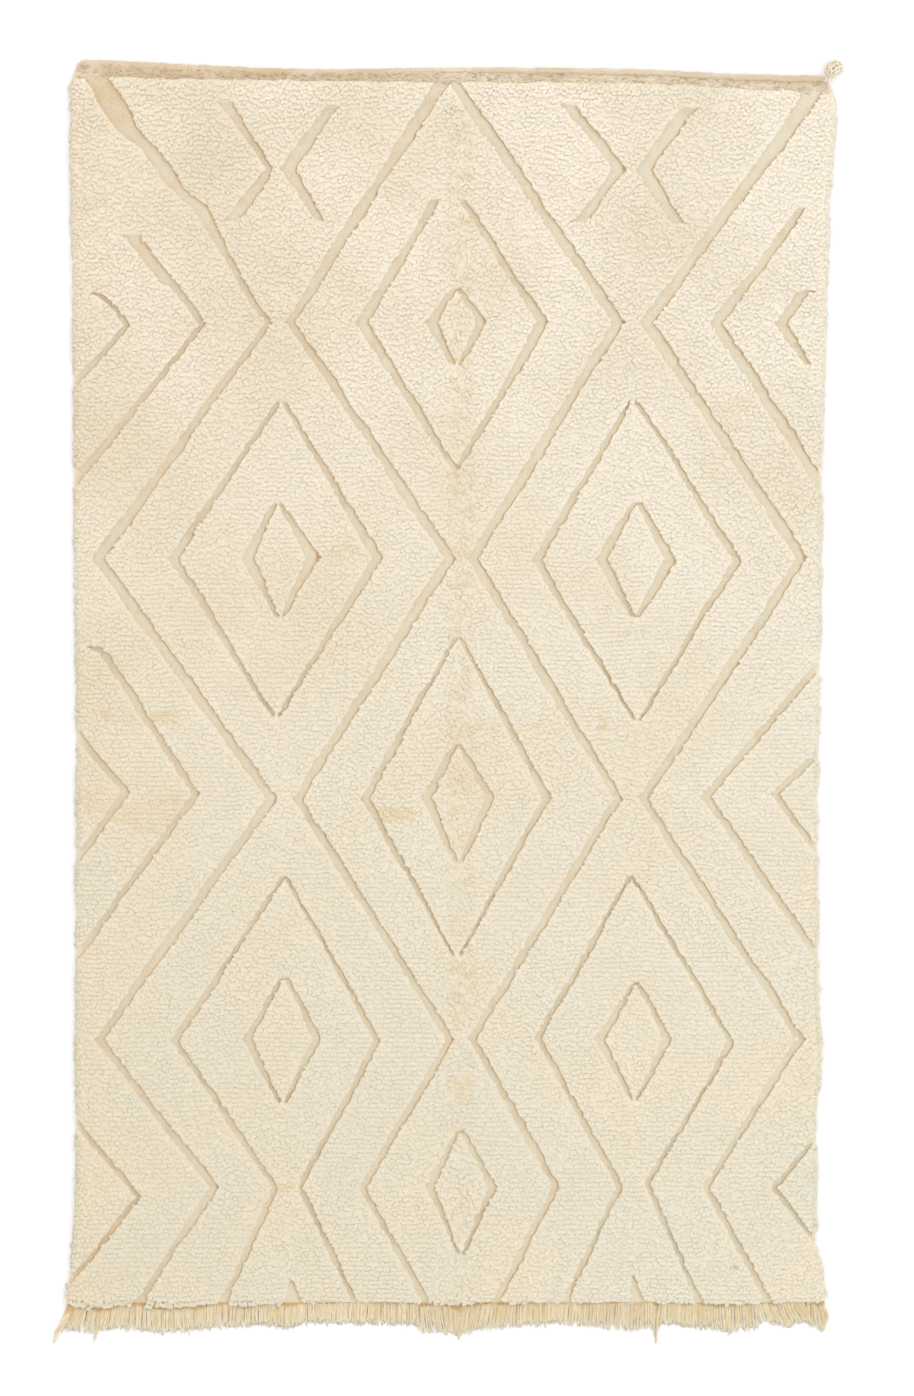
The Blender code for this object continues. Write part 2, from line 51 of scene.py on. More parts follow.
MM = 0.001
PICTURE_HEIGHT = 1396
PIXEL = 2.1 * MM
PICTURE_MIDDLE = (0.0189, 0.0084)
PILE_LEVEL = 0.017
LENS, SENSOR = 85.0, 36.0
KEY_FROM, KEY_STRENGTH, KEY_ANGLE = (0.60, 0.42, 0.80), 0.43, 32.0
SKY_STRENGTH = 1.03
FLOOR_HALF = 9.0

camera = bpy.data.objects.new("camera", bpy.data.cameras.new("camera"))
camera.data.lens = LENS
camera.data.sensor_width = SENSOR
camera.data.clip_end = 50.0
camera.location = (*PICTURE_MIDDLE, PILE_LEVEL + PICTURE_HEIGHT * PIXEL * LENS / SENSOR)
bpy.context.collection.objects.link(camera)
bpy.context.scene.camera = camera
bpy.context.scene.view_settings.view_transform = "Standard"


def linear(code):
    """An sRGB hex colour as linear RGBA."""
    srgb = [value / 255 for value in bytes.fromhex(code)]
    return (*(v / 12.92 if v <= 0.04045 else ((v + 0.055) / 1.055) ** 2.4 for v in srgb), 1.0)


key_light = bpy.data.lights.new("key_light", "SUN")
key_light.energy = KEY_STRENGTH
key_light.angle = math.radians(KEY_ANGLE)
lamp = bpy.data.objects.new("key_light", key_light)
lamp.rotation_euler = Vector(KEY_FROM).to_track_quat("Z", "Y").to_euler()
bpy.context.collection.objects.link(lamp)
studio = bpy.data.worlds.new("studio")
studio.use_nodes = True
studio.node_tree.nodes["Background"].inputs["Color"].default_value = linear("FFFFFF")
studio.node_tree.nodes["Background"].inputs["Strength"].default_value = SKY_STRENGTH
bpy.context.scene.world = studio

corners = [(x * FLOOR_HALF, y * FLOOR_HALF, 0) for x, y in ((-1, -1), (1, -1), (1, 1), (-1, 1))]
floor_mesh = bpy.data.meshes.new("studio_floor")
floor_mesh.from_pydata(corners, [], [(0, 1, 2, 3)])
studio_floor = bpy.data.objects.new("studio_floor", floor_mesh)
bpy.context.collection.objects.link(studio_floor)

# Matt white paint on board: pale and without gloss.
floor_paint = bpy.data.materials.new("matt_white_paint")
floor_paint.use_nodes = True
floor_shader = floor_paint.node_tree.nodes["Principled BSDF"]
floor_shader.inputs["Base Color"].default_value = linear("FAFAFA")
floor_shader.inputs["Roughness"].default_value = 0.9
floor_shader.inputs["Specular IOR Level"].default_value = 0.1
floor_mesh.materials.append(floor_paint)


# ---------------------------------------------------------------- woven ground
# The cloth itself: warps and wefts of wool with the rows of knots beaten down on them.  The
# lozenge lines are where the pile is cut down to the ground, and the hem is flat-woven.

PILE_TOP, PILE_LUMP = 0.0172, 0.0013
PILE_ROLL, PILE_CLUMPS = (0.160, 601), (0.070, 602)
FOLD_X, FOLD_WIDTH, FOLD_DEPTH = 0.0180, 0.0300, 0.0012
BODY_SUNK = 0.0008
RIM_DROP, RIM_FLAT, RIM_SOFT = 0.0052, 0.0030, 0.0070
HEM_DROP, HEM_SOFT = 0.0036, 0.0060
GROOVE_FLOOR = 0.0095
GROOVE_WIDE, GROOVE_NARROW = 0.0310, 0.0150
WALL, CAP = 0.0022, 0.0040
HEM_TOP = 0.0050
HEM_RIB, HEM_RIB_PITCH = 0.0005, 0.0046
HEM_RAG, HEM_NOTCHES = 0.0014, (0.014, 606)
PILE_RAG, PILE_NOTCHES = 0.0024, (0.030, 607)
HEM_LEVEL, HEM_SPILL = 1.3460, 0.0012
HEM_CORNERS = (-0.770, 0.780)
FOUNDATION_TOP, FOUNDATION_END = 0.0042, -1.2560
SIDE_TUCK, FOOT_TUCK = 0.0080, 0.0040
BODY_SPILL, CUT_SPILL = 0.0050, 0.0015
CORNER_RADIUS = 0.0100
LINE_STEP, LINE_NEAREST = 0.0058, 0.0012
LINE_SHIFT, LINE_RAG, LINE_WIDER = 0.0022, 0.0030, 0.0012
LINE_WAVER, LINE_SWELL, LINE_NOTCHES = (0.110, 0), (0.080, 300), (0.0105, 800)
SWELL_SHARE, FULL_RAG_HALF = 0.16, 0.0060
FOOT_LEVEL, FOOT_FLARE, FOOT_REACH = -1.2620, 0.0050, 0.0110
TIP_WIDTH, LOZENGE_TIP_WIDTH = 0.62, 0.42
LEAST_HALF = 0.0008

# The edge of the pile down each side: level y, x there, in millimetres.
LEFT_SIDE = [
    (1345, -776), (1317, -790), (1195, -794), (844, -787), (342, -785), (0, -780),
    (-220, -781), (-689, -783), (-1006, -781), (-1203, -794), (-1275, -808),
]
RIGHT_SIDE = [
    (1312, 794), (1285, 810), (1247, 817), (1046, 800), (752, 794), (617, 787), (214, 783),
    (-206, 776), (-670, 779), (-748, 785), (-865, 774), (-1136, 773), (-1195, 787), (-1275, 799),
]
# The hemmed end: place x, outer edge y, and the line y where the pile begins.
HEM_END = [
    (-800, 1346, 1309), (-714, 1344, 1312), (-573, 1337, 1308), (-400, 1328, 1306),
    (-218, 1325, 1304), (0, 1329, 1300), (240, 1328, 1301), (420, 1325, 1299),
    (569, 1317, 1291), (700, 1313, 1284), (830, 1312, 1277),
]
# Where the pile's foot hangs over the fringe: place x, level y.
PILE_FOOT = [
    (-810, -1262), (-780, -1275), (-712, -1277), (-690, -1268), (-640, -1270), (-590, -1278),
    (-540, -1272), (-478, -1263), (-430, -1274), (-360, -1268), (-250, -1261), (-100, -1262),
    (20, -1270), (70, -1264), (300, -1262), (385, -1254), (470, -1264), (590, -1268), (740, -1260),
    (800, -1264),
]
# The four lines that zigzag down the rug: level, outer left, inner left, inner right, outer right.
ZIGZAGS = [
    (1316, -738, -5, 3, 795), (798, -378, -330, 359, 418), (302, -735, 4, 52, 745),
    (-203, -370, -317, 357, 410), (-708, -733, 4, 52, 739), (-1020, -491, -179, 227, 542),
    (-1290, -669, -29, 84, 690),
]
ZIGZAG_WIDTHS = (1.20, 1.0, 1.0, 1.05)
# Where they turn narrower or wider than their rule, and extra places on the way, by line.
ZIGZAG_NARROWS = {(1, 1316): 1.60, (1, 798): 0.50, (2, 798): 0.85, (3, 798): 0.95, (4, 1316): 1.3}
ZIGZAG_EXTRAS = {
    1: [(-676, 1205, 1.29), (-626, 1161, 0.95), (-585, 1100, 1.25), (-570, 1078, 1.0),
        (-522, 1040, 1.05), (-496, 997, 0.75), (-462, 930, 0.55), (-404, 833, 0.50)],
    4: [(764, 1276, 1.6), (716, 1205, 1.12)],
}
# Closed lozenges: x, y, half width, reach up and down, lean of the tips, width against the rule.
LOZENGES = [
    (18, 798, 53, 74, 92, 0, 1.05), (17, -202, 191, 342, 334, 4, 0.90),
    (22, -200, 66, 116, 140, -3, 1.10), (28, -1020, 66, 122, 142, -3, 1.25),
    (-362, 302, 215, 332, 336, 12, 0.95), (-353, 303, 69, 118, 128, -6, 1.10),
    (-348, -708, 74, 132, 138, 4, 1.15), (397, 298, 210, 338, 338, -6, 0.90),
    (395, 300, 73, 122, 126, 2, 1.15), (391, -708, 71, 122, 130, 3, 1.15),
]
LIMB_GAP = 3
# Open lines: width against the rule, then start, turns and end, some with a width of their own.
OPEN_LINES = [
    (1.00, [(-23, 1058), (-180, 796), (15, 486)]),
    (0.95, [(27, 1058), (200, 800), (19, 486)]),
    (0.95, [(-344, -363), (-573, -712), (-363, -1020), (-484, -1290)]),
    (0.80, [(-344, -363), (-147, -710), (-313, -1020), (-180, -1290)]),
    (0.85, [(384, -363), (189, -706), (361, -1018), (233, -1290)]),
    (0.80, [(384, -363), (596, -714), (418, -1010), (540, -1290)]),
    (0.80, [(-752, 864, 1.3), (-728, 852, 0.7), (-698, 826, 0.5), (-676, 790, 0.7), (-820, 630)]),
    (1.00, [(-668, 984, 2.6), (-662, 972, 1.2), (-586, 880, 1.5), (-570, 868, 0.8), (-515, 792, 0.5),
            (-820, 420)]),
    (0.90, [(-762, 121, 1.4), (-742, 114, 1.2), (-720, 99, 0.9), (-531, -195), (-820, -590)]),
    (0.90, [(-820, -20), (-676, -189), (-820, -390)]),
    (0.90, [(-820, -838), (-649, -1040), (-830, -1262)]),
    (1.05, [(748, 1040), (565, 796), (820, 404)]),
    (1.00, [(776, 868, 2.2), (742, 858, 1.0), (698, 796, 0.9), (758, 706, 0.8)]),
    (1.00, [(830, 140), (542, -200), (830, -610)]),
    (0.90, [(830, -60), (685, -193), (830, -386)]),
    (0.90, [(830, -850), (685, -1020), (830, -1215)]),
    (0.95, [(-470, 1263, 1.6), (-462, 1250, 1.0), (-374, 1120, 0.5), (-400, 1082, 1.1),
            (-448, 1017, 1.1), (-462, 1008, 1.6)]),
    (0.95, [(-234, 1254, 2.2), (-248, 1246, 1.1), (-336, 1119, 1.3), (-267, 1008, 0.9)]),
    (1.00, [(252, 1258, 1.7), (262, 1244, 1.0), (361, 1119, 1.0), (286, 1016, 1.0), (266, 1006, 1.9)]),
    (1.05, [(514, 1250, 1.9), (496, 1236, 1.1), (412, 1119, 1.2), (478, 1012, 0.9), (490, 1003, 1.7)]),
    (1.30, [(-330, -1212, 0.5), (-324, -1262, 2.0), (-324, -1290, 2.2)]),
    (1.30, [(389, -1201, 0.5), (395, -1250, 1.2), (397, -1290, 2.0)]),
]
PAST_SIDE, PAST_FOOT = 800, -1270


def column(table, number):
    """One column of a table in metres, against its first, both rising."""
    rows = np.array(sorted(row[:3] for row in table), float) * MM
    return rows[:, 0], rows[:, number]


def uneven(kind, x, y, copy=0):
    """Smooth hand-made unevenness between -1 and 1 at plan points; kind is (pitch, layer)."""
    pitch, layer = kind
    level = (layer + copy) * 7.3
    places = np.broadcast(np.asarray(x), np.asarray(y))
    found = [1.8 * noise.noise((a / pitch, b / pitch, level)) for a, b in places]
    return np.clip(found, -1.0, 1.0).reshape(places.shape)


def smooth(x, low, high):
    """A share that rises softly from 0 to 1 between two places."""
    share = np.clip((x - low) / (high - low), 0, 1)
    return share * share * (3 - 2 * share)


def left_edge(y):
    return np.interp(y, *column(LEFT_SIDE, 1))


def right_edge(y):
    return np.interp(y, *column(RIGHT_SIDE, 1))


def hem_edge(x):
    return np.interp(x, *column(HEM_END, 1)) + HEM_RAG * uneven(HEM_NOTCHES, x, 1.3)


def pile_line(x):
    return np.interp(x, *column(HEM_END, 2)) + PILE_RAG * uneven(PILE_NOTCHES, x, 1.3)


def pile_foot(x):
    return np.interp(x, *column(PILE_FOOT, 1)) - FOOT_TUCK


def cut_line(points, width, copy, runs_out=(False, False), tip=TIP_WIDTH):
    """One line cut in the pile: level y and the x of both ragged edges there, from the bottom up."""
    rows = np.array([(*point, 1.0)[:3] for point in points], float)
    ys, xs, widths = rows[::-1, 1] * MM, rows[::-1, 0] * MM, rows[::-1, 2].copy()
    for end, out in zip((-1, 0), runs_out):
        widths[end] *= 1.0 if out else tip
    steps = max(2, round((ys[-1] - ys[0]) / LINE_STEP))
    y = np.unique(np.concatenate([np.linspace(ys[0], ys[-1], steps + 1), ys]))
    y = y[np.append(np.diff(y) > LINE_NEAREST, True)]
    x = np.interp(y, ys, xs)
    x = x + LINE_SHIFT * uneven(LINE_WAVER, x, y, copy)
    climb = np.clip((y - FOUNDATION_END) / (HEM_LEVEL - FOUNDATION_END), 0, 1)
    rule = GROOVE_NARROW + (GROOVE_WIDE - GROOVE_NARROW) * climb
    half = 0.5 * width * rule * np.interp(y, ys, widths)
    half = half * (1 + SWELL_SHARE * uneven(LINE_SWELL, x, y, copy)) + LINE_WIDER
    if ys[0] < FOOT_LEVEL:
        half = half + FOOT_FLARE * np.exp(-np.maximum(y - FOOT_LEVEL, 0) / FOOT_REACH)
    rag = LINE_RAG * np.minimum(1, half / FULL_RAG_HALF)
    left, right = (x + side * half + rag * uneven(LINE_NOTCHES, x + (side > 0), y, copy) for side in (-1, 1))
    return {"y": y, "left": left, "right": right, "runs_out": runs_out[::-1]}


lines = []
for number, width in enumerate(ZIGZAG_WIDTHS, start=1):
    places = [(row[number], row[0], ZIGZAG_NARROWS.get((number, row[0]), 1.0)) for row in ZIGZAGS]
    places = sorted(places + ZIGZAG_EXTRAS.get(number, []), key=lambda place: -place[1])
    lines.append(cut_line(places, width, len(lines), (True, True)))
for x, y, half_width, up, down, lean, width in LOZENGES:
    for side in (-1, 1):
        foot = x + LIMB_GAP * side
        limb = [(foot + lean, y + up), (x + side * half_width, y), (foot, y - down)]
        lines.append(cut_line(limb, width, len(lines), tip=LOZENGE_TIP_WIDTH))
for width, points in OPEN_LINES:
    ends = tuple(abs(end[0]) >= PAST_SIDE or end[1] < PAST_FOOT for end in (points[0], points[-1]))
    lines.append(cut_line(points, width, len(lines), ends))


def inside_lines(x, y):
    """How far plan points lie inside the cut lines or the hem, in metres; negative in the pile."""
    x, y = np.asarray(x, float), np.asarray(y, float)
    deepest = y - pile_line(x)
    for line in lines:
        low, high = line["y"][0], line["y"][-1]
        near = (y > low - 0.03) & (y < high + 0.03)
        left, right = (np.interp(y[near], line["y"], line[side]) for side in ("left", "right"))
        gap = np.minimum(x[near] - left, right - x[near])
        if not line["runs_out"][1]:
            gap = np.minimum(gap, (high - y[near]) * WALL / CAP)
        if not line["runs_out"][0]:
            gap = np.minimum(gap, (y[near] - low) * WALL / CAP)
        deepest[near] = np.maximum(deepest[near], gap)
    return deepest


def from_right_edge(x, y, far=0.05, edge=0.0002):
    """How far plan points in a cut line lie from its right-hand edge, in metres."""
    nearest = np.full(len(x), far)
    for line in lines:
        near = (y >= line["y"][0]) & (y <= line["y"][-1])
        left, right = (np.interp(y[near], line["y"], line[side]) for side in ("left", "right"))
        within = (x[near] > left - edge) & (x[near] < right + edge)
        nearest[near] = np.minimum(nearest[near], np.where(within, right - x[near], far))
    return nearest


def pile_height(x, y):
    """The lumpy top of the pile, lower along the fold down the middle and rounded off at the rim."""
    lump = 0.6 * uneven(PILE_ROLL, x, y) + 0.4 * uneven(PILE_CLUMPS, x, y)
    fold = np.exp(-((np.asarray(x) - FOLD_X) / FOLD_WIDTH) ** 2)
    rim = np.minimum(np.minimum(x - left_edge(y), right_edge(y) - x), y - pile_foot(x))
    round_off = RIM_DROP * np.exp(-np.maximum(rim - RIM_FLAT, 0) / RIM_SOFT)
    round_off = np.maximum(round_off, HEM_DROP * np.exp(-np.maximum(pile_line(x) - y, 0) / HEM_SOFT))
    return PILE_TOP + PILE_LUMP * lump - FOLD_DEPTH * fold - round_off


def between(start, end, step):
    """Evenly spaced values between two, without them."""
    return np.linspace(start, end, max(2, round(abs(end - start) / step)) + 1)[1:-1]


def ground_outline(step):
    """The cloth's edge in plan, anticlockwise from the top left."""
    radius, low = CORNER_RADIUS, FOUNDATION_END + CORNER_RADIUS
    tops = [hem_edge(x) - HEM_SPILL - radius for x in HEM_CORNERS]
    lefts = [left_edge(y) + SIDE_TUCK for y in (tops[0], low)]
    rights = [right_edge(y) - SIDE_TUCK for y in (low, tops[1])]

    def corner(x, y, start):
        turn = start + np.linspace(0, 0.5 * math.pi, 5)
        return list(zip(x + radius * np.cos(turn), y + radius * np.sin(turn)))

    outline = [(left_edge(y) + SIDE_TUCK, y) for y in between(tops[0], low, step)]
    outline += corner(lefts[1] + radius, low, math.pi)
    outline += [(x, FOUNDATION_END) for x in between(lefts[1] + radius, rights[0] - radius, step)]
    outline += corner(rights[0] - radius, low, 1.5 * math.pi)
    outline += [(right_edge(y) - SIDE_TUCK, y) for y in between(low, tops[1], step)]
    outline += corner(rights[1] - radius, tops[1], 0.0)
    outline += [(x, hem_edge(x) - HEM_SPILL) for x in between(rights[1] - radius, lefts[0] + radius, step)]
    outline += corner(lefts[0] + radius, tops[0], 0.5 * math.pi)
    return [Vector(point) for point in outline]


def outward(loop, i):
    """The unit direction out of a closed anticlockwise loop at one of its points."""
    along = (loop[(i + 1) % len(loop)] - loop[i - 1]).normalized()
    return Vector((along.y, -along.x))


PLAN_WIDE, PLAN_STEP = 0.86, 0.010
RIB_LINES, HEM_CLEAR = range(1, 24), 0.0040
BESIDE_CUTS = ((0.0050, 0.0040), (0.0120, 0.0040))
GRID_X, GRID_Y = (-0.800, 0.800, 0.026), (-1.235, 1.280, 0.024)
GRID_FROM_SIDE, GRID_FROM_CUT = 0.0200, 0.0080
RIM_CLEAR = 0.0050


def ground_plan(rim):
    """Plan points and constraint edges of the cut lines and the hem, with the loop of the rim."""
    points, edges = [], []

    def add_line(line):
        start = len(points)
        points.extend(line)
        edges.extend((i, i + 1) for i in range(start, len(points) - 1))
        return start, len(points) - 1

    for line in lines:
        out_low, out_high = line["runs_out"]
        inner = slice(0 if out_low else 1, None if out_high else -1)
        for part, wall in ((slice(None), 0.0), (inner, WALL)):
            ys, middle = line["y"][part], 0.5 * (line["left"][part] + line["right"][part])
            left = add_line(list(zip(np.minimum(line["left"][part] + wall, middle - LEAST_HALF), ys)))
            right = add_line(list(zip(np.maximum(line["right"][part] - wall, middle + LEAST_HALF), ys)))
            if not out_low:
                edges.append((left[0], right[0]))
            if not out_high:
                edges.append((left[1], right[1]))
    across = np.arange(-PLAN_WIDE, PLAN_WIDE + MM, PLAN_STEP)
    start = pile_line(across)
    for shift in (0.0, WALL):
        add_line(list(zip(across, start + shift)))
    loop = list(range(len(points), len(points) + len(rim)))
    points += [tuple(p) for p in rim]
    for rib in RIB_LINES:
        level = start + 0.5 * HEM_RIB_PITCH * rib + WALL
        points += [(x, y) for x, y in zip(across, level) if y < hem_edge(x) - HEM_CLEAR]
    for inset, margin in BESIDE_CUTS:
        clear = inside_lines(across, start - inset) < -margin
        points += list(zip(across[clear], (start - inset)[clear]))
    for row, y in enumerate(np.arange(*GRID_Y)):
        places = np.arange(*GRID_X) + 0.5 * GRID_X[2] * (row % 2)
        within = (places > left_edge(y) + GRID_FROM_SIDE) & (places < right_edge(y) - GRID_FROM_SIDE)
        places = places[within]
        clear = inside_lines(places, np.full(len(places), y)) < -GRID_FROM_CUT
        points += [(x, y) for x in places[clear]]
    feet = ground_outline(0.014)
    for inset, _ in BESIDE_CUTS:
        near = np.array([tuple(p - outward(feet, i) * inset) for i, p in enumerate(feet)])
        points += near[inside_lines(near[:, 0], near[:, 1]) < -RIM_CLEAR].tolist()
    return points, edges, loop


def ordered_boundary(mesh):
    """Vertices of the mesh's one boundary, in order, anticlockwise from above."""
    left = {edge for edge in mesh.edges if edge.is_boundary}
    edge = left.pop()
    loop = [edge.verts[0], edge.verts[1]]
    while left:
        edge = next(e for e in loop[-1].link_edges if e in left)
        left.remove(edge)
        loop.append(edge.other_vert(loop[-1]))
    loop.pop()
    area = sum(a.co.x * b.co.y - b.co.x * a.co.y for a, b in zip(loop, loop[1:] + loop[:1]))
    return loop if area > 0 else loop[::-1]


def carry(mesh, **values):
    """Store a number or a vector on every point of a mesh, under a name."""
    for name, given in values.items():
        kind, field = ("FLOAT", "value") if np.ndim(given) == 1 else ("FLOAT_VECTOR", "vector")
        mesh.attributes.new(name, kind, "POINT").data.foreach_set(field, np.ravel(given))


def tan_and_painted_light(x, y):
    """How far wool is tanned in the lines and on the hem, up to 1, or paler, down to -1: in random patches,
    and as painted light beside the pile's wall, where its shade falls on the hem.
    """
    up = (y - pile_line(x)) / np.maximum(hem_edge(x) - pile_line(x), 0.010)
    # Painted light: along the line where the pile begins, whose wall shades the hem, the tan is lowered and
    # the hem made paler.
    pile_wall_shade = 1 - smooth(up, 0.10, 0.60)
    left = 0.32 + 0.08 * smooth(x, -0.72, -0.68) * smooth(-x, 0.50, 0.60) * (1 - smooth(up, 0.25, 0.55))
    left = left - (0.14 + 0.28 * smooth(x, -0.50, -0.40)) * pile_wall_shade
    hem = np.where(x < -0.01, left, 0.02 - 0.30 * pile_wall_shade)
    hem = hem * (1 - np.exp(-((x + 0.005) / 0.045) ** 2)) + 0.24 * uneven((0.030, 608), 0.6 * x, y)
    golden_stub = np.exp(-((x + 0.767) ** 2 + (y - 1.337) ** 2) / 0.008 ** 2)
    hem = hem * smooth(x, -0.745, -0.715) + golden_stub
    cut = 0.45 * smooth(-x, 0.55, 0.78) * smooth(-y, 0.75, 1.15) + 0.30 * smooth(-y, 1.245, 1.265)
    cut = cut + 0.45 * smooth(y, 1.14, 1.30) * smooth(-x, 0.55, 0.70)
    return np.clip(np.where(y > pile_line(x) - 0.004, hem, cut), -1, 1)


def build_ground():
    """The closed cloth: cut-down lines, ribbed hem, a body for the knots, and a flat back."""
    feet = ground_outline(0.010)
    rim = [p + outward(feet, i) * 0.0005 for i, p in enumerate(feet)]
    points, edges, loop = ground_plan(rim)
    plan = delaunay_2d_cdt([Vector(p) for p in points], edges, [loop], 1, 0.0003)
    xs, ys = np.array([tuple(p) for p in plan[0]]).T
    cut = np.clip(inside_lines(xs, ys) / WALL, 0, 1)
    hem = np.clip((ys - pile_line(xs)) / WALL, 0, 1)
    ribs = np.cos(2 * math.pi * (ys - pile_line(xs) - WALL) / HEM_RIB_PITCH)
    floor = np.where(hem > 0.5, HEM_TOP + HEM_RIB * ribs, GROOVE_FLOOR)
    tops = (pile_height(xs, ys) - BODY_SUNK) * (1 - cut) + floor * cut

    mesh = bmesh.new()
    verts = [mesh.verts.new(place) for place in zip(xs, ys, tops)]
    for face in plan[2]:
        mesh.faces.new([verts[i] for i in face])
    bmesh.ops.delete(mesh, geom=[v for v in mesh.verts if not v.link_faces], context="VERTS")
    rings = [ordered_boundary(mesh), [], [], []]
    flat = [Vector(v.co.xy) for v in rings[0]]
    rim_cut = np.clip(inside_lines([p.x for p in flat], [p.y for p in flat]) / WALL, 0, 1)
    for i, vert in enumerate(rings[0]):
        bulge = BODY_SPILL + CUT_SPILL * rim_cut[i]
        foot_z = min(FOUNDATION_TOP, 0.6 * vert.co.z)
        for ring, reach, z in zip(rings[1:], (bulge, 0, 0), (0.5 * (foot_z + vert.co.z), foot_z, 0)):
            ring.append(mesh.verts.new((*(flat[i] + outward(flat, i) * reach), z)))
    for upper, lower in zip(rings, rings[1:]):
        for i in range(len(upper)):
            after = (i + 1) % len(upper)
            mesh.faces.new((upper[i], lower[i], lower[after], upper[after]))
    mesh.faces.new(list(reversed(rings[-1])))
    bmesh.ops.recalc_face_normals(mesh, faces=mesh.faces)
    bmesh.ops.triangulate(mesh, faces=mesh.faces)
    data = bpy.data.meshes.new("woven_ground")
    mesh.to_mesh(data)
    mesh.free()
    data.shade_smooth()
    data.set_sharp_from_angle(angle=math.radians(50))
    places = np.empty(3 * len(data.vertices))
    data.vertices.foreach_get("co", places)
    x, y, _ = places.reshape(-1, 3).T
    carry(data, bare=np.clip(inside_lines(x, y) / (0.4 * WALL), 0, 1),
          hem=np.clip((y - pile_line(x)) / WALL, 0, 1), bank=from_right_edge(x, y), tint=tan_and_painted_light(x, y))
    return data


# Sizes of the changes of tone in the wool, and the pitch of the weave, which is drawn about twice
# as coarse as the real threads, so that it shows.
CLOUDS, PATCHES, MOTTLES, BREAKS = 312.5 * MM, 71.43 * MM, 33.33 * MM, 14.286 * MM
THREADS = 3.846 * MM
WEFTS, WARPS = 4.909 * MM, 3.491 * MM
WAVE_LENGTH = 0.1 * math.pi


def add(tree, kind, inputs=None, **settings):
    """Add a node with its settings; an input is a value, a hex colour, a socket or a feeding node."""
    node = tree.nodes.new(kind)
    for name, value in settings.items():
        setattr(node, name, value)
    for key, value in (inputs or {}).items():
        socket = node.inputs[key]
        if isinstance(value, bpy.types.Node):
            value = next(output for output in value.outputs if output.enabled)
        if isinstance(value, bpy.types.NodeSocket):
            tree.links.new(value, socket)
        elif isinstance(value, str) and socket.type == "RGBA":
            socket.default_value = linear(value)
        else:
            socket.default_value = value
    return node


def wool(name, roughness, sheen):
    """A matt wool surface: its material, node tree and shader."""
    material = bpy.data.materials.new(name)
    material.use_nodes = True
    shader = material.node_tree.nodes["Principled BSDF"]
    for label, value in (("Roughness", roughness), ("Diffuse Roughness", 1.0), ("Specular IOR Level", 0.2),
                         ("Sheen Weight", sheen), ("Sheen Roughness", 0.5), ("Sheen Tint", linear("FFF6E6"))):
        shader.inputs[label].default_value = value
    return material, material.node_tree, shader


def coat(tree, shader, colour, relief, strength, depth):
    """Give a wool surface its colour and its fine relief."""
    bump = add(tree, "ShaderNodeBump", {"Height": relief, "Strength": strength, "Distance": depth})
    tree.links.new(colour.outputs[0], shader.inputs["Base Color"])
    tree.links.new(bump.outputs["Normal"], shader.inputs["Normal"])


def crosswise(tree, place, left, right):
    """Shares of red, green and blue that change evenly from the rug's left side to its right."""
    level = add(tree, "ShaderNodeSeparateXYZ", {0: place})
    share = add(tree, "ShaderNodeMapRange", {"Value": level, "From Min": -0.75, "From Max": 0.55})
    return add(tree, "ShaderNodeMix", {0: share, 6: (*left, 1.0), 7: (*right, 1.0)}, data_type="RGBA")


def ivory_batches(tree, place):
    """The pile's ivory: creamier at the hem end, greener at the fringe, duller to the left, in clouds."""
    level = add(tree, "ShaderNodeSeparateXYZ", {0: place}).outputs["Y"]
    lengthwise = add(tree, "ShaderNodeMapRange", {"Value": level, "From Min": -1.0, "From Max": 1.1})
    clouds = add(tree, "ShaderNodeTexNoise", {"Vector": place, "Scale": 1 / CLOUDS, "Detail": 3.0})
    batch = add(tree, "ShaderNodeMix", {0: lengthwise, 6: "EDE8D7", 7: "FAF2E3"}, data_type="RGBA")
    warm = add(tree, "ShaderNodeMapRange", {"Value": clouds, "From Min": 0.42, "From Max": 0.66})
    clouded = add(tree, "ShaderNodeMix", {0: warm, 6: batch, 7: "F1E8D3"}, data_type="RGBA")
    side = crosswise(tree, place, (0.950, 0.933, 0.908), (0.988, 0.992, 1.008))
    return add(tree, "ShaderNodeVectorMath", {0: clouded, 1: side}, operation="MULTIPLY")


# Undyed handspun wool, tightly woven: tan in the shade of the lines, with painted shade along each line's
# right-hand edge, the side away from the light, and straw-pink on the hem, made paler by painted light beside
# the pile's wall, with the threads as fine specks.
ground_wool, tree, shader = wool("flat_woven_wool", 0.94, 0.15)
place = add(tree, "ShaderNodeTexCoord").outputs["Object"]
bare, hem_share, tint, bank = (add(tree, "ShaderNodeAttribute", attribute_name=name).outputs["Fac"]
                               for name in ("bare", "hem", "tint", "bank"))
patches, mottles, breaks, threads = (
    add(tree, "ShaderNodeTexNoise", {"Vector": place, "Scale": 1 / size, "Detail": detail})
    for size, detail in ((PATCHES, 4.0), (MOTTLES, 3.0), (BREAKS, 2.0), (THREADS, 4.0)))
pale = add(tree, "ShaderNodeMix", {0: patches, 6: "E6DCC6", 7: "EDE4D0"}, data_type="RGBA")
mottled = add(tree, "ShaderNodeMapRange", {"Value": mottles, "From Min": 0.48, "From Max": 0.66,
                                           "To Max": 0.6})
pale = add(tree, "ShaderNodeMix", {0: mottled, 6: pale, 7: "EAD7BC"}, data_type="RGBA")
side = crosswise(tree, place, (0.985, 0.980, 0.975), (1.020, 1.045, 1.070))
pale = add(tree, "ShaderNodeVectorMath", {0: pale, 1: side}, operation="MULTIPLY")
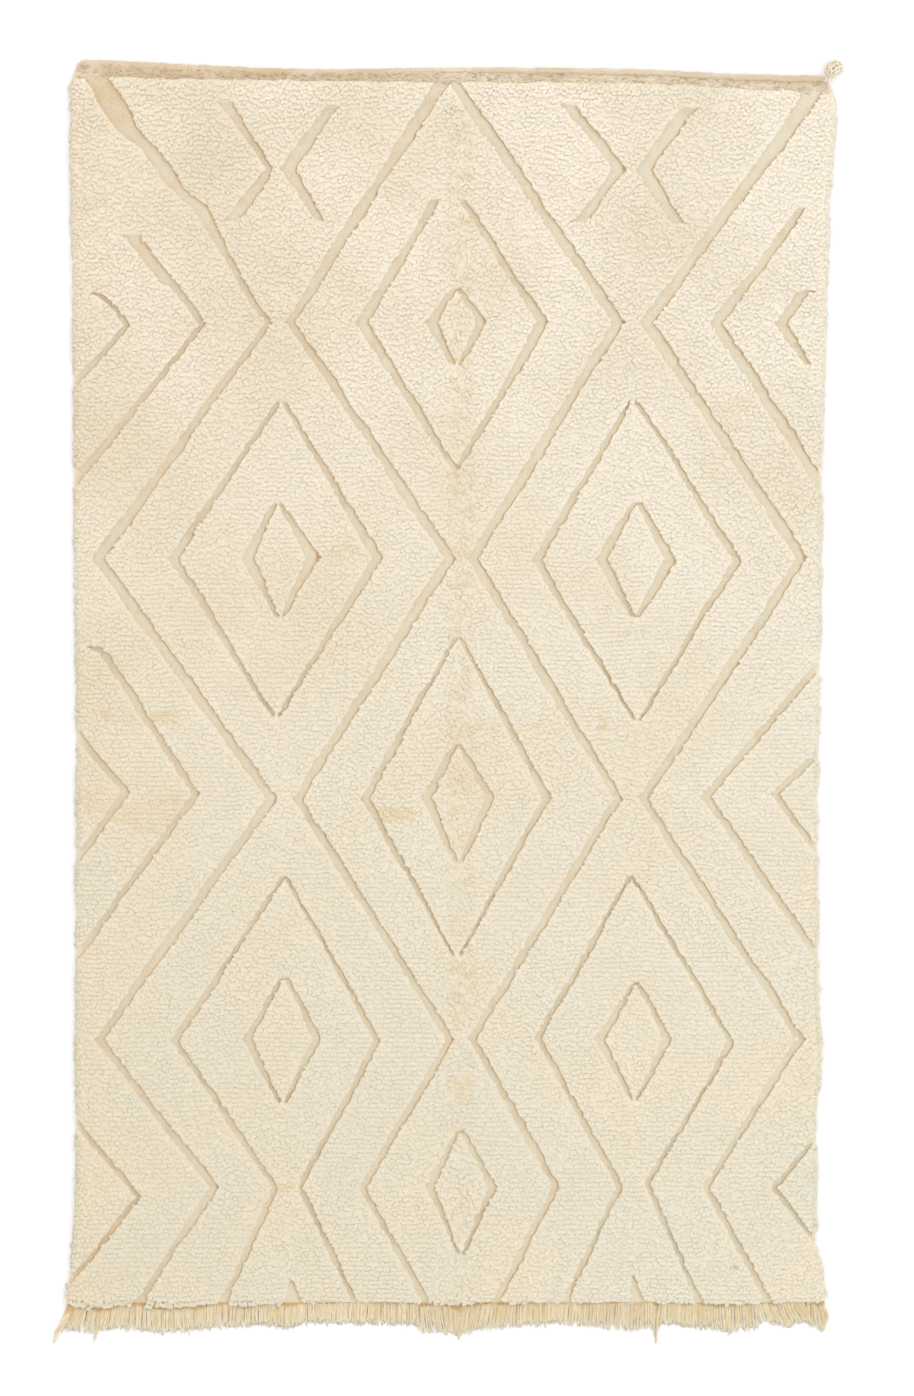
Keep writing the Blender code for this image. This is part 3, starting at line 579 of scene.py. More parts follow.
# Painted shade: a faint tan band and a thin, broken darker line along the right-hand edge of each cut line,
# the side away from the light.
painted_bank_shade = add(tree, "ShaderNodeMapRange", {"Value": bank, "From Min": 0.0030, "From Max": 0.0110,
                                             "To Min": 0.35, "To Max": 0.0})
pale = add(tree, "ShaderNodeMix", {0: painted_bank_shade, 6: pale, 7: "E6D5B4"}, data_type="RGBA")
broken = add(tree, "ShaderNodeMapRange", {"Value": breaks, "From Min": 0.36, "From Max": 0.60,
                                          "To Min": 0.0008, "To Max": 0.0038})
painted_edge_shadow = add(tree, "ShaderNodeMapRange", {"Value": bank, "From Min": broken, "From Max": 0.0050,
                                              "To Min": 0.95, "To Max": 0.0})
with_painted_shadow = add(tree, "ShaderNodeMix", {0: painted_edge_shadow, 6: pale, 7: "D9C096"}, data_type="RGBA")
tan = add(tree, "ShaderNodeMix", {0: tint, 6: with_painted_shadow, 7: "DFC598"}, data_type="RGBA")
straw = add(tree, "ShaderNodeMix", {0: patches, 6: "E6D7BD", 7: "F0E4CF"}, data_type="RGBA")
# Tint below zero paints the straw paler: random paler patches, and painted light beside the pile's wall.
paler_and_painted_light = add(tree, "ShaderNodeMapRange", {"Value": tint, "From Min": 0.0, "From Max": -1.0})
straw = add(tree, "ShaderNodeMix", {0: paler_and_painted_light, 6: straw, 7: "FFF8E8"}, data_type="RGBA")
straw = add(tree, "ShaderNodeMix", {0: tint, 6: straw, 7: "DABF95"}, data_type="RGBA")
flat_woven = add(tree, "ShaderNodeMix", {0: hem_share, 6: tan, 7: straw}, data_type="RGBA")
whole = add(tree, "ShaderNodeMix", {0: bare, 6: ivory_batches(tree, place), 7: flat_woven}, data_type="RGBA")
speckle = add(tree, "ShaderNodeMapRange", {"Value": threads, "To Min": 0.84, "To Max": 1.14})
colour = add(tree, "ShaderNodeVectorMath", {0: whole, "Scale": speckle}, operation="SCALE")
wefts = add(tree, "ShaderNodeTexWave", {"Vector": place, "Scale": WAVE_LENGTH / WEFTS, "Distortion": 1.5,
                                        "Detail": 2.0, "Detail Scale": 2.0}, bands_direction="Y")
warps = add(tree, "ShaderNodeTexWave", {"Vector": place, "Scale": WAVE_LENGTH / WARPS, "Distortion": 1.0},
            bands_direction="X")
weave = add(tree, "ShaderNodeMath", {0: wefts.outputs["Fac"], 1: warps.outputs["Fac"]}, operation="MULTIPLY")
woven_share = add(tree, "ShaderNodeMath", {0: bare, 1: 0.7}, operation="MULTIPLY")
coat(tree, shader, colour, weave, woven_share, 0.0008)

ground_mesh = build_ground()
ground_mesh.materials.append(ground_wool)
ground = bpy.data.objects.new("woven_ground", ground_mesh)
bpy.context.collection.objects.link(ground)
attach(ground, "root")
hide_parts("rug")


# ---------------------------------------------------------------- knotted pile
# Every knot leaves a lock of ivory wool, cut to length and lying a little towards the fringe.
# The rows show as fine lines across; the pile is felted at the hem end and ruffled down the fold.

ROW_PITCH, KNOT_PITCH = 0.0098, 0.0079
ROWS_FROM, ROWS_TO = 1.318, -1.276
KNOTS_FROM, KNOTS_TO = -0.822, 0.832
KNOT_HALF, KNOT_DEPTH, KNOT_LENGTH = 0.0053, 0.0006, 0.0135
KNOT_RELIEF, KNOT_TILT, FLATTEST, STEEPEST = 0.0018, 1.380, 1.53, 0.60
LIP_CLEAR, LIP_LEAN, LIP_REACH = 0.0008, 1.25, 0.0040
SIDE_CLEAR, SIDE_LEAN, SIDE_REACH = 0.0040, 0.9, 0.010
FOOT_CLEAR, FOOT_WAVE = 0.0045, -1.2700
# Unevenness of the pile: pitch and layer of each kind.
FELTED_PATCHES, FOLD_SWAY, FOLD_PATCHES = (0.30, 710), (0.22, 711), (0.12, 712)
ROW_SWAY, ROW_WAVER, ROW_BREAKS = (0.21, 713), (0.060, 714), (0.085, 718)
LOCK_TURNS, LOCK_TILTS, LOCK_TONES = (0.045, 715), (0.030, 716), (0.035, 717)
PARTED_ROWS, PARTED_STREAKS, RIM_WAVES = (0.05, 731), (0.055, 732), (0.060, 604)
# The locks of the shaggy edges: height on the rim, rise above level and inset of each course.
RIM_COURSES = ((0.0035, -0.06, 0.000), (0.0072, 0.08, 0.000), (0.0112, 0.30, 0.003))
RIM_PITCH, RIM_LOCK = 0.0062, (0.0046, 0.0022, 0.0130)
RAGGEDNESS, LOCK_FIBRES = 0.0040, 0.0060
FLOOR_CLEAR = 0.0003
dice = np.random.default_rng(11)

# The wool of one knot in unit size: two blunt yarn ends side by side, with the foot at the origin.
LOCK_PLACES = [(0, -0.3, 0), (-1, -0.9, 0.60), (-0.52, 0.9, 0.66), (0, 0.25, 0.60), (0.50, 0.9, 0.62),
               (1, -0.9, 0.58), (-0.55, -3.0, 1.0), (0, -1.2, 0.80), (0.52, -3.0, 0.95), (0, -4.0, 0.55)]
LOCK_FACES = [(0, 1, 2), (0, 2, 3), (0, 3, 4), (0, 4, 5), (1, 6, 2), (2, 6, 3), (3, 6, 7), (3, 7, 8),
              (3, 8, 4), (4, 8, 5), (1, 0, 9), (0, 5, 9), (6, 1, 9), (7, 6, 9), (8, 7, 9), (5, 8, 9)]
lock_mesh = bpy.data.meshes.new("lock")
lock_mesh.from_pydata(LOCK_PLACES, [], LOCK_FACES)
lock = bpy.data.objects.new("lock", lock_mesh)


def started(name, inputs):
    """A new geometry tree with named inputs: the tree, its sockets by name and the inputs' outputs."""
    tree = bpy.data.node_groups.new(name, "GeometryNodeTree")
    sockets = {label: tree.interface.new_socket(name=label, in_out="INPUT", socket_type="NodeSocket" + kind)
               for label, kind in inputs.items()}
    tree.interface.new_socket(name="Wool", in_out="OUTPUT", socket_type="NodeSocketGeometry")
    return tree, sockets, add(tree, "NodeGroupInput").outputs


def finished(tree, geometry, reach, pitch, wool):
    """End a tree: real points, moved by noise of one pitch but kept off the floor, smooth and dressed."""
    real = add(tree, "GeometryNodeRealizeInstances", {"Geometry": geometry})
    here = add(tree, "GeometryNodeInputPosition")
    often = add(tree, "ShaderNodeMath", {0: 1.0, 1: pitch}, operation="DIVIDE")
    waves = add(tree, "ShaderNodeTexNoise", {"Vector": here, "Scale": often, "Detail": 1.0}).outputs["Color"]
    centred = add(tree, "ShaderNodeVectorMath", {0: waves, 1: (0.5, 0.5, 0.5)}, operation="SUBTRACT")
    nudge = add(tree, "ShaderNodeVectorMath", {0: centred, "Scale": reach}, operation="SCALE")
    moved = add(tree, "ShaderNodeVectorMath", {0: here, 1: nudge}, operation="ADD")
    lowest = (-FLOOR_HALF, -FLOOR_HALF, FLOOR_CLEAR)
    above = add(tree, "ShaderNodeVectorMath", {0: moved, 1: lowest}, operation="MAXIMUM")
    ragged = add(tree, "GeometryNodeSetPosition", {"Geometry": real, "Position": above})
    soft = add(tree, "GeometryNodeSetShadeSmooth", {"Geometry": ragged})
    dressed = add(tree, "GeometryNodeSetMaterial", {"Geometry": soft, "Material": wool})
    add(tree, "NodeGroupOutput", {"Wool": dressed})


def pile_tree():
    """Geometry nodes that set a lock of wool on every knot, leaning and sized as its knot says."""
    tree, sockets, given = started("knotted pile", {
        "Knots": "Geometry", "Lock": "Object", "Seed": "Int", "Fuzz": "Float", "Fuzz pitch": "Float",
        "Wool": "Material"})
    shape = add(tree, "GeometryNodeObjectInfo", {"Object": given["Lock"]}).outputs["Geometry"]
    local = add(tree, "GeometryNodeInputPosition")
    marked = add(tree, "GeometryNodeStoreNamedAttribute", {"Geometry": shape, "Name": "lock", "Value": local},
                 data_type="FLOAT_VECTOR", domain="POINT")
    turn, size = (add(tree, "GeometryNodeInputNamedAttribute", {"Name": name}, data_type="FLOAT_VECTOR")
                  for name in ("turn", "size"))
    spun = add(tree, "FunctionNodeEulerToRotation", {"Euler": turn})
    placed = add(tree, "GeometryNodeInstanceOnPoints", {"Points": given["Knots"], "Instance": marked,
                                                        "Rotation": spun, "Scale": size})
    chance = add(tree, "FunctionNodeRandomValue", {"Seed": given["Seed"]}, data_type="FLOAT")
    toned = add(tree, "GeometryNodeStoreNamedAttribute",
                {"Geometry": placed, "Name": "chance", "Value": chance}, data_type="FLOAT", domain="INSTANCE")
    loose = add(tree, "GeometryNodeInputNamedAttribute", {"Name": "loose"}, data_type="FLOAT")
    reach = add(tree, "ShaderNodeMath", {0: loose, 1: given["Fuzz"]}, operation="MULTIPLY")
    finished(tree, toned, reach, given["Fuzz pitch"], given["Wool"])
    return tree, sockets


def grown(name, source, tree, sockets, **values):
    """Run a tree on a mesh and keep the result as a plain mesh in a new object."""
    seed = bpy.data.objects.new(name + "_source", source)
    bpy.context.collection.objects.link(seed)
    grow = seed.modifiers.new("grow", "NODES")
    grow.node_group = tree
    for label, value in values.items():
        grow[sockets[label.replace("_", " ").capitalize()].identifier] = value
    bpy.context.view_layer.update()
    result = bpy.data.meshes.new_from_object(seed.evaluated_get(bpy.context.evaluated_depsgraph_get()))
    result.name = name
    bpy.data.objects.remove(seed, do_unlink=True)
    piece = bpy.data.objects.new(name, result)
    bpy.context.collection.objects.link(piece)
    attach(piece, "root")
    return piece


def crowns():
    """Where the tips of the knots' locks lie in plan, with how felted and how ruffled they are."""
    rows = np.arange(ROWS_FROM, ROWS_TO, -ROW_PITCH)
    x, y = np.meshgrid(np.arange(KNOTS_FROM, KNOTS_TO, KNOT_PITCH), rows)
    x = (x + 0.5 * KNOT_PITCH * (np.arange(len(rows)) % 2)[:, None]).ravel()
    y = y.ravel()
    felted = np.clip(0.15 + 0.75 * smooth(y, 0.1, 0.9) + 0.35 * uneven(FELTED_PATCHES, x, y), 0, 1)
    band = np.exp(-((x - 0.020 - 0.012 * uneven(FOLD_SWAY, 0 * x, y)) / FOLD_WIDTH) ** 2)
    ruffled = band * np.clip(0.58 + 0.45 * uneven(FOLD_PATCHES, x, y), 0, 1)
    wave = 0.0034 * uneven(ROW_SWAY, x, y) + 0.0015 * uneven(ROW_WAVER, x, y)
    broken = smooth(uneven(ROW_BREAKS, 0.6 * x, y), -0.5, 0.6)
    wave = wave + (pile_foot(x) - FOOT_WAVE) * np.exp(-np.maximum(y - FOOT_WAVE, 0) / 0.045)
    y = y + wave + dice.normal(size=len(y)) * (0.0011 + 0.0018 * felted + 0.0014 * broken + 0.0026 * ruffled)
    x = x + dice.normal(size=len(x)) * (0.0013 + 0.0010 * ruffled)
    return x, y, felted, ruffled


# Where the rows part and the yellower wool beneath shows: x from, to, y from, to, how strongly.
PARTINGS = [
    (-146, -70, -250, -221, 1.0), (36, 122, -60, -41, 0.8), (138, 232, -68, -45, 0.7),
    (284, 338, -60, -24, 0.7), (-730, -560, -46, -18, 0.6), (-773, -560, -275, -180, 0.45),
    (-372, -338, 796, 804, 0.8), (-362, -320, -1024, -1014, 0.9), (-770, -734, 305, 316, 0.6),
    (-270, -160, 296, 332, 0.45), (-800, -712, 790, 1265, 0.22), (-800, -660, -1262, -1180, 0.18),
    (690, 790, -1262, -1215, 0.18), (-60, 60, -1262, -1190, 0.20), (0, 54, -900, 1250, 0.42),
    (520, 640, 560, 640, 0.25),
]
PARTING_SOFT = 0.006


def parting(x, y):
    """How far each plan point's row of knots stands open, from 0 to 1."""
    def strip(v, low, high):
        starts, ends = (smooth(v, edge * MM - PARTING_SOFT, edge * MM + PARTING_SOFT) for edge in (low, high))
        return starts - ends

    total = np.zeros(len(x))
    for left, right, low, high, strength in PARTINGS:
        total = np.maximum(total, strength * strip(x, left, right) * strip(y, low, high))
    row = np.floor((y + 0.002 * uneven(PARTED_ROWS, x, y)) / (2 * ROW_PITCH))
    streaks = uneven(PARTED_STREAKS, x, row * 1.7)
    return np.clip(total * (0.55 + 0.9 * streaks + 0.3 * dice.normal(size=len(x))), 0, 1)


def knots():
    """What each knot of the pile carries, from the hem end down: place, turn, size and wool."""
    x, y, felted, ruffled = crowns()
    left, right, cut = left_edge(y), right_edge(y), inside_lines(x, y)
    keep = (x > left + SIDE_CLEAR) & (x < right - SIDE_CLEAR) & (y > pile_foot(x) + FOOT_CLEAR)
    keep &= cut < -LIP_CLEAR
    x, y, felted, ruffled, left, right, cut = (v[keep] for v in (x, y, felted, ruffled, left, right, cut))
    chance = dice.normal(size=(6, len(x)))
    yaw = 0.25 * uneven(LOCK_TURNS, x, y) + chance[0] * (0.16 + 0.10 * felted + 1.0 * ruffled)
    tilt = KNOT_TILT + 0.014 * uneven(LOCK_TILTS, x, y) + chance[1] * 0.012 + 0.045 * felted
    tilt = np.clip(tilt - 0.16 * ruffled * (1 + chance[2]), STEEPEST, FLATTEST)
    side = np.where(x < 0, -1, 1) * np.exp(-np.minimum(x - left, right - x) / SIDE_REACH)
    lip = LIP_LEAN * np.exp((cut + LIP_CLEAR) / LIP_REACH)
    lean_x, lean_y = ((inside_lines(x + a, y + b) - inside_lines(x - a, y - b)) / (2 * MM)
                      for a, b in ((MM, 0), (0, MM)))
    across = np.sin(yaw) * np.sin(tilt) + SIDE_LEAN * side + lip * lean_x
    along = np.cos(yaw) * np.sin(tilt) - lip * lean_y
    yaw, tilt = np.arctan2(across, along), np.arctan2(np.hypot(across, along), np.cos(tilt))
    relief = KNOT_RELIEF + 0.0009 * ruffled - 0.0004 * lip + chance[3] * (0.00010 + 0.0005 * ruffled)
    length = KNOT_LENGTH * (1 + 0.08 * chance[4])
    depth = KNOT_DEPTH * (1 - 0.35 * felted + 0.6 * ruffled)
    shade = 0.5 * uneven(LOCK_TONES, 0.35 * x, y) + 0.5 * dice.normal(size=len(x))
    # Painted shade: beside the hem the locks count as partly parted, so that they are painted darker and
    # yellower on the pile's rounded slope, which faces the light; the same share sets them lower and steeper.
    parted = np.maximum(parting(x, y), 0.35 * np.exp(-np.maximum(pile_line(x) - y, 0) / HEM_SOFT))
    foot = pile_height(x, y) - BODY_SUNK + relief - 0.75 * length * np.cos(tilt) - 0.0005 * parted
    reach = 0.6 * length * np.sin(tilt)
    return {"place": np.stack([x - reach * np.sin(yaw), y + reach * np.cos(yaw), foot], 1),
            "turn": np.stack([tilt - 0.06 * parted, 0 * tilt, yaw], 1),
            "size": np.stack([KNOT_HALF * (1 + 0.10 * chance[5]), depth, length], 1),
            "shade": shade, "loose": 0.10 + 0.55 * ruffled, "parted": parted}


def rim_knots():
    """The same for the locks that hang out of the sides and the fringed end, in three courses."""
    places, turns, sizes = [], [], []
    feet = ground_outline(RIM_PITCH)
    cut = inside_lines([p.x for p in feet], [p.y for p in feet])
    wave = [foot.y - pile_foot(foot.x) - RIM_LOCK[2] if foot.y < FOUNDATION_END + 0.0005 else
            0.0030 * uneven(RIM_WAVES, foot.x, foot.y) for foot in feet]
    for height, rise, inset in RIM_COURSES:
        for i, foot in enumerate(feet):
            out = outward(feet, i)
            sway, stretch, lift = dice.normal(size=3)
            if cut[i] > -0.003:
                continue
            spot = foot - out * (inset + 0.002)
            places.append((spot.x, spot.y, height))
            turns.append((0.5 * math.pi - rise + 0.08 * lift, 0.0, math.atan2(out.x, -out.y) + 0.32 * sway))
            sizes.append((*RIM_LOCK[:2], RIM_LOCK[2] + 0.0020 * stretch + wave[i]))
    count = len(places)
    return {"place": np.array(places), "turn": np.array(turns), "size": np.array(sizes),
            "shade": dice.normal(size=count), "loose": np.full(count, 0.6), "parted": np.full(count, 0.15)}


# Stains in the wool: middle, reach, how strong, colour.
STAINS = (((0.6006, -1.1886, 0.0), (0.0105, 0.0055, 1.0), 0.75, "D9A283"),
          ((-0.7580, -1.1680, 0.0), (0.013, 0.010, 1.0), 0.45, "D8BE90"))

# Ivory lambswool, clipped, never dyed: matt, a little brighter at the tips and warmer down in the rows, where
# the roots get a light warm cream as painted light against the shade between rows, with broad cloudy changes
# of tone from one batch of yarn to the next.
pile_wool, tree, shader = wool("clipped_ivory_wool", 0.93, 0.25)
place = add(tree, "ShaderNodeTexCoord").outputs["Object"]
lock_place = add(tree, "ShaderNodeAttribute", attribute_name="lock").outputs["Vector"]
parted, shade, chance = (add(tree, "ShaderNodeAttribute", attribute_name=name).outputs["Fac"]
                         for name in ("parted", "shade", "chance"))
depth = add(tree, "ShaderNodeSeparateXYZ", {0: lock_place}).outputs["Z"]
# Painted light: the lower part of each lock, down between the rows where shade falls, is a light warm cream.
tip = add(tree, "ShaderNodeMapRange", {"Value": depth, "From Min": 0.22, "From Max": 0.48})
ivory = add(tree, "ShaderNodeMix", {0: tip, 6: "F7E8CC", 7: ivory_batches(tree, place)}, data_type="RGBA")
# Yellower wool where the rows part, and painted shade beside the hem.
parting_and_hem_shade_share = add(tree, "ShaderNodeMath", {0: parted, 1: 0.75}, operation="MULTIPLY")
ivory = add(tree, "ShaderNodeMix", {0: parting_and_hem_shade_share, 6: ivory, 7: "E9D6AC"}, data_type="RGBA")
for middle, reach, strength, stain in STAINS:
    moved = add(tree, "ShaderNodeVectorMath", {0: place, 1: middle}, operation="SUBTRACT")
    sized = add(tree, "ShaderNodeVectorMath", {0: moved, 1: reach}, operation="DIVIDE")
    away = add(tree, "ShaderNodeVectorMath", {0: sized}, operation="LENGTH")
    share = add(tree, "ShaderNodeMapRange", {"Value": away, "From Min": 0.6, "From Max": 1.1,
                                             "To Min": strength, "To Max": 0.0})
    ivory = add(tree, "ShaderNodeMix", {0: share, 6: ivory, 7: stain}, data_type="RGBA")
brighten = add(tree, "ShaderNodeMapRange", {"Value": shade, "From Min": -1.5, "From Max": 1.5,
                                            "To Min": 0.98, "To Max": 1.02})
apart = add(tree, "ShaderNodeVectorMath", {0: lock_place, 1: (7.0, 7.0, 1.4)}, operation="MULTIPLY")
fibres = add(tree, "ShaderNodeTexNoise", {"Vector": apart, "W": chance, "Scale": 1.0, "Detail": 3.0},
             noise_dimensions="4D")
fleck = add(tree, "ShaderNodeMapRange", {"Value": fibres, "To Min": 0.96, "To Max": 1.04})
tone = add(tree, "ShaderNodeMath", {0: brighten, 1: fleck}, operation="MULTIPLY")
colour = add(tree, "ShaderNodeVectorMath", {0: ivory, "Scale": tone}, operation="SCALE")
coat(tree, shader, colour, fibres, 0.30, 0.0006)

PILE_BANDS = ("pile_at_hem", "pile_upper", "pile_middle", "pile_lower", "pile_at_fringe")
knot_tree, knot_sockets = pile_tree()
inner_knots, outer_knots = knots(), rim_knots()
carried = {name: np.concatenate([inner_knots[name], outer_knots[name]]) for name in inner_knots}
places = carried.pop("place")
order = np.argsort(-places[:, 1], kind="stable")
for name, band in zip(PILE_BANDS, np.array_split(order, len(PILE_BANDS))):
    source = bpy.data.meshes.new("knots")
    source.from_pydata(places[band].tolist(), [], [])
    carry(source, **{label: values[band] for label, values in carried.items()})
    grown(name, source, knot_tree, knot_sockets, lock=lock, seed=3, fuzz=RAGGEDNESS,
                      fuzz_pitch=LOCK_FIBRES, wool=pile_wool)


# ---------------------------------------------------------------- heading cord
# The first wefts are rolled over into a cord along the hemmed end.  It is thin at the left, where
# the flat weave shows beside it, and thickens to the right, where it turns in a small loop.

CORD_FROM, CORD_TO, CORD_STEP = -0.0600, 0.7900, 0.0060
CORD_HALF = ((CORD_FROM, 0.10, 0.40, CORD_TO), (0.0010, 0.0032, 0.0038, 0.0045))
CORD_LUMPS, CORD_WAVER = (0.030, 720), (0.060, 721)
CORD_TURN, CORD_FUZZ, CORD_FUZZ_PITCH = 0.034, 0.0016, 0.0070
# Sizes of the drift of tone along the yarns and of the specks, which are drawn coarser than fibres.
DRIFT, SPECKS = 38.46 * MM, 1.111 * MM


def yarn_tree():
    """Geometry nodes that spin every open line of a mesh into a flattened, twisted strand."""
    tree, sockets, given = started("spun yarn", {
        "Lines": "Geometry", "Sides": "Int", "Flatness": "Float", "Fuzz": "Float", "Fuzz pitch": "Float",
        "Wool": "Material"})
    twist, thick = (add(tree, "GeometryNodeInputNamedAttribute", {"Name": name}, data_type="FLOAT")
                    for name in ("twist", "thick"))
    curve = add(tree, "GeometryNodeMeshToCurve", {"Mesh": given["Lines"]})
    turned = add(tree, "GeometryNodeSetCurveTilt", {"Curve": curve, "Tilt": twist})
    ring = add(tree, "GeometryNodeCurvePrimitiveCircle", {"Resolution": given["Sides"], "Radius": 1.0})
    flat = add(tree, "ShaderNodeCombineXYZ", {0: 1.0, 1: given["Flatness"], 2: 1.0})
    oval = add(tree, "GeometryNodeTransform", {"Geometry": ring, "Scale": flat})
    spun = add(tree, "GeometryNodeCurveToMesh", {"Curve": turned, "Profile Curve": oval, "Scale": thick,
                                                 "Fill Caps": True})
    finished(tree, spun, given["Fuzz"], given["Fuzz pitch"], given["Wool"])
    return tree, sockets


def yarn_mesh(strands, turn_length):
    """Open lines from (points, thicknesses) pairs, with a tone for each and its twist from the start."""
    data = bpy.data.meshes.new("lines")
    places, edges, thick, twist, tone, along = [], [], [], [], [], []
    for points, widths in strands:
        first, start = len(places), dice.uniform(0, 2 * math.pi)
        points = np.asarray(points, float)
        run = np.append(0, np.cumsum(np.linalg.norm(np.diff(points, axis=0), axis=1)))
        places.extend(points.tolist())
        edges.extend((i, i + 1) for i in range(first, first + len(points) - 1))
        thick.extend(widths)
        twist.extend(start + 2 * math.pi * run / turn_length)
        tone.extend([dice.uniform(0, 1)] * len(points))
        along.extend(run / run[-1])
    data.from_pydata(places, edges, [])
    carry(data, thick=thick, twist=twist, tone=tone, along=along)
    return data


def eased(points, count):
    """A smooth line with evenly spaced points through a few given ones."""
    points = np.asarray(points, float)
    fine = np.linspace(0, len(points) - 1, count)
    slopes = np.gradient(points, axis=0)
    low = np.clip(np.floor(fine).astype(int), 0, len(points) - 2)
    t = (fine - low)[:, None]
    start, end, leave, arrive = points[low], points[low + 1], slopes[low], slopes[low + 1]
    return ((2 * t**3 - 3 * t**2 + 1) * start + (t**3 - 2 * t**2 + t) * leave
            + (3 * t**2 - 2 * t**3) * end + (t**3 - t**2) * arrive)


def spun_wool(name, root, low, high, end):
    """Handspun two-ply wool: a tone for each strand, another where it leaves the cloth and at its end."""
    material, tree, shader = wool(name, 0.92, 0.20)
    place = add(tree, "ShaderNodeTexCoord").outputs["Object"]
    tone, along = (add(tree, "ShaderNodeAttribute", attribute_name=label).outputs["Fac"]
                   for label in ("tone", "along"))
    drift, fibres = (add(tree, "ShaderNodeTexNoise", {"Vector": place, "Scale": 1 / size, "Detail": 2.0})
                     for size in (DRIFT, SPECKS))
    strand = add(tree, "ShaderNodeMix", {0: tone, 6: low, 7: high}, data_type="RGBA")
    shifted = add(tree, "ShaderNodeMath", {0: drift, 1: -0.45, 2: along}, operation="MULTIPLY_ADD")
    out = add(tree, "ShaderNodeMapRange", {"Value": shifted, "From Min": 0.02, "From Max": 0.12})
    rooted = add(tree, "ShaderNodeMix", {0: out, 6: root, 7: strand}, data_type="RGBA")
    far = add(tree, "ShaderNodeMapRange", {"Value": along, "From Min": 0.70, "From Max": 1.0})
    ended = add(tree, "ShaderNodeMix", {0: far, 6: rooted, 7: end}, data_type="RGBA")
    speckle = add(tree, "ShaderNodeMapRange", {"Value": fibres, "To Min": 0.92, "To Max": 1.07})
    colour = add(tree, "ShaderNodeVectorMath", {0: ended, "Scale": speckle}, operation="SCALE")
    coat(tree, shader, colour, fibres, 0.6, 0.0006)
    return material


strand_tree, strand_sockets = yarn_tree()
across = np.arange(CORD_FROM, CORD_TO, CORD_STEP)
cord_half = np.interp(across, *CORD_HALF) * (1 + 0.08 * uneven(CORD_LUMPS, across, 0 * across))
cord_y = hem_edge(across) - cord_half + 0.0008 * uneven(CORD_WAVER, across, 0 * across)
cord_line = np.stack([across, cord_y, 0.0046 + 0.22 * cord_half], 1)
# The same straw-coloured wool as the hem's, rolled firmly, so that its turns show as slanting lines.
heading_wool = spun_wool("rolled_heading_wool", "E6D5B8", "E8D8BB", "EADBC0", "E6D4B6")
heading_cord = grown("heading_cord", yarn_mesh([(cord_line, cord_half)], CORD_TURN), strand_tree,
                     strand_sockets, sides=12, flatness=0.82, fuzz=CORD_FUZZ, fuzz_pitch=CORD_FUZZ_PITCH,
                     wool=heading_wool)


# ---------------------------------------------------------------- wisps of the hem
# Handspun wefts are hairy: loose wisps lie along the flat-woven hem and stand out of its edge, and
# wisps of the first row's pile straggle over the line where the pile begins.

WISP_HALF, WISP_LENGTH, WISP_FUZZ, WISP_FUZZ_PITCH = 0.00045, 0.0095, 0.0004, 0.0050
HEM_WISPS, PILE_WISPS = 1300, 800
WISPS_FROM, WISPS_TO = -0.780, 0.800


def wisp(x, y, z, heading, length, rise):
    """One hair-thin bent line of loose wool, with its thickness at each point."""
    way = np.array([math.cos(heading), math.sin(heading), 0.0]) * length
    side = np.array([-way[1], way[0], 0.0]) * dice.normal(scale=0.16)
    middle = np.array([x, y, z])
    points = [middle - 0.5 * way, middle + side + (0, 0, 0.6 * rise), middle + 0.5 * way + (0, 0, rise)]
    return eased(points, 4), WISP_HALF * np.array([0.5, 1.0, 0.9, 0.4])


hem_wisps, pile_wisps = [], []
for x in np.sort(dice.uniform(WISPS_FROM, WISPS_TO, HEM_WISPS)):
    low, high = pile_line(x) + 0.0020, hem_edge(x) - 0.0012
    share = dice.uniform(0, 1) ** 0.8
    top = HEM_TOP + 0.0006 if share < 0.9 else HEM_TOP - 0.0012
    heading = dice.normal(scale=0.45 if share < 0.85 else 0.8)
    length = WISP_LENGTH * dice.uniform(0.6, 1.2)
    hem_wisps.append(wisp(x, low + share * (high - low), top, heading, length, dice.uniform(0.0, 0.0014)))
for x in np.sort(dice.uniform(WISPS_FROM, WISPS_TO, PILE_WISPS)):
    y = pile_line(x) + dice.normal(0.0012, 0.0022)
    height = HEM_TOP + 0.0014 if y > pile_line(x) + 0.0020 else 0.5 * (HEM_TOP + PILE_TOP)
    pile_wisps.append(wisp(x, y, height, 1.57 + dice.normal(scale=0.7), 0.8 * WISP_LENGTH, -0.0010))

# Loose hairs of the hem's weft, and paler ones of the pile's clipped wool.
hem_wool = spun_wool("hairy_weft_wool", "EAD9BA", "E6D2AE", "F4E8D2", "F0E2C8")
straggling_wool = spun_wool("straggling_pile_wool", "F2E6D0", "F2E8D4", "F8F0E0", "F6EEDC")
for name, found, finish in (("hem_wisps", hem_wisps, hem_wool),
                            ("pile_edge_wisps", pile_wisps, straggling_wool)):
    piece = grown(name, yarn_mesh(found, 0.02), strand_tree, strand_sockets, sides=3, flatness=0.8,
                  fuzz=WISP_FUZZ, fuzz_pitch=WISP_FUZZ_PITCH, wool=finish)


# ---------------------------------------------------------------- warp fringe
# The warps run on past the last row of knots as loose strands of spun wool, cut off unevenly and a
# little frayed.  They come out of the foundation, and the left selvedge ends in one thick lock.

FRINGE_FIRST, FRINGE_LAST, FRINGE_PITCH = -0.7980, 0.7880, 0.0024
STRAND_HALF, STRAND_POINTS, FRINGE_FUZZ_PITCH = 0.0025, 13, 0.0060
LEAN_GROUPS, STRAND_TAPER = (0.036, 722), ((0, 0.6, 0.88, 1), (1.0, 1.06, 0.90, 0.45))
FRAY_WIDTHS, LOCK_FRAY_WIDTHS = (0.0008, 0.0009, 0.0007, 0.0003), (0.0010, 0.0010, 0.0009, 0.0007, 0.0003)
UNDERSIDE_WIDTHS = (0.0034, 0.0036, 0.0036, 0.0032, 0.0012)
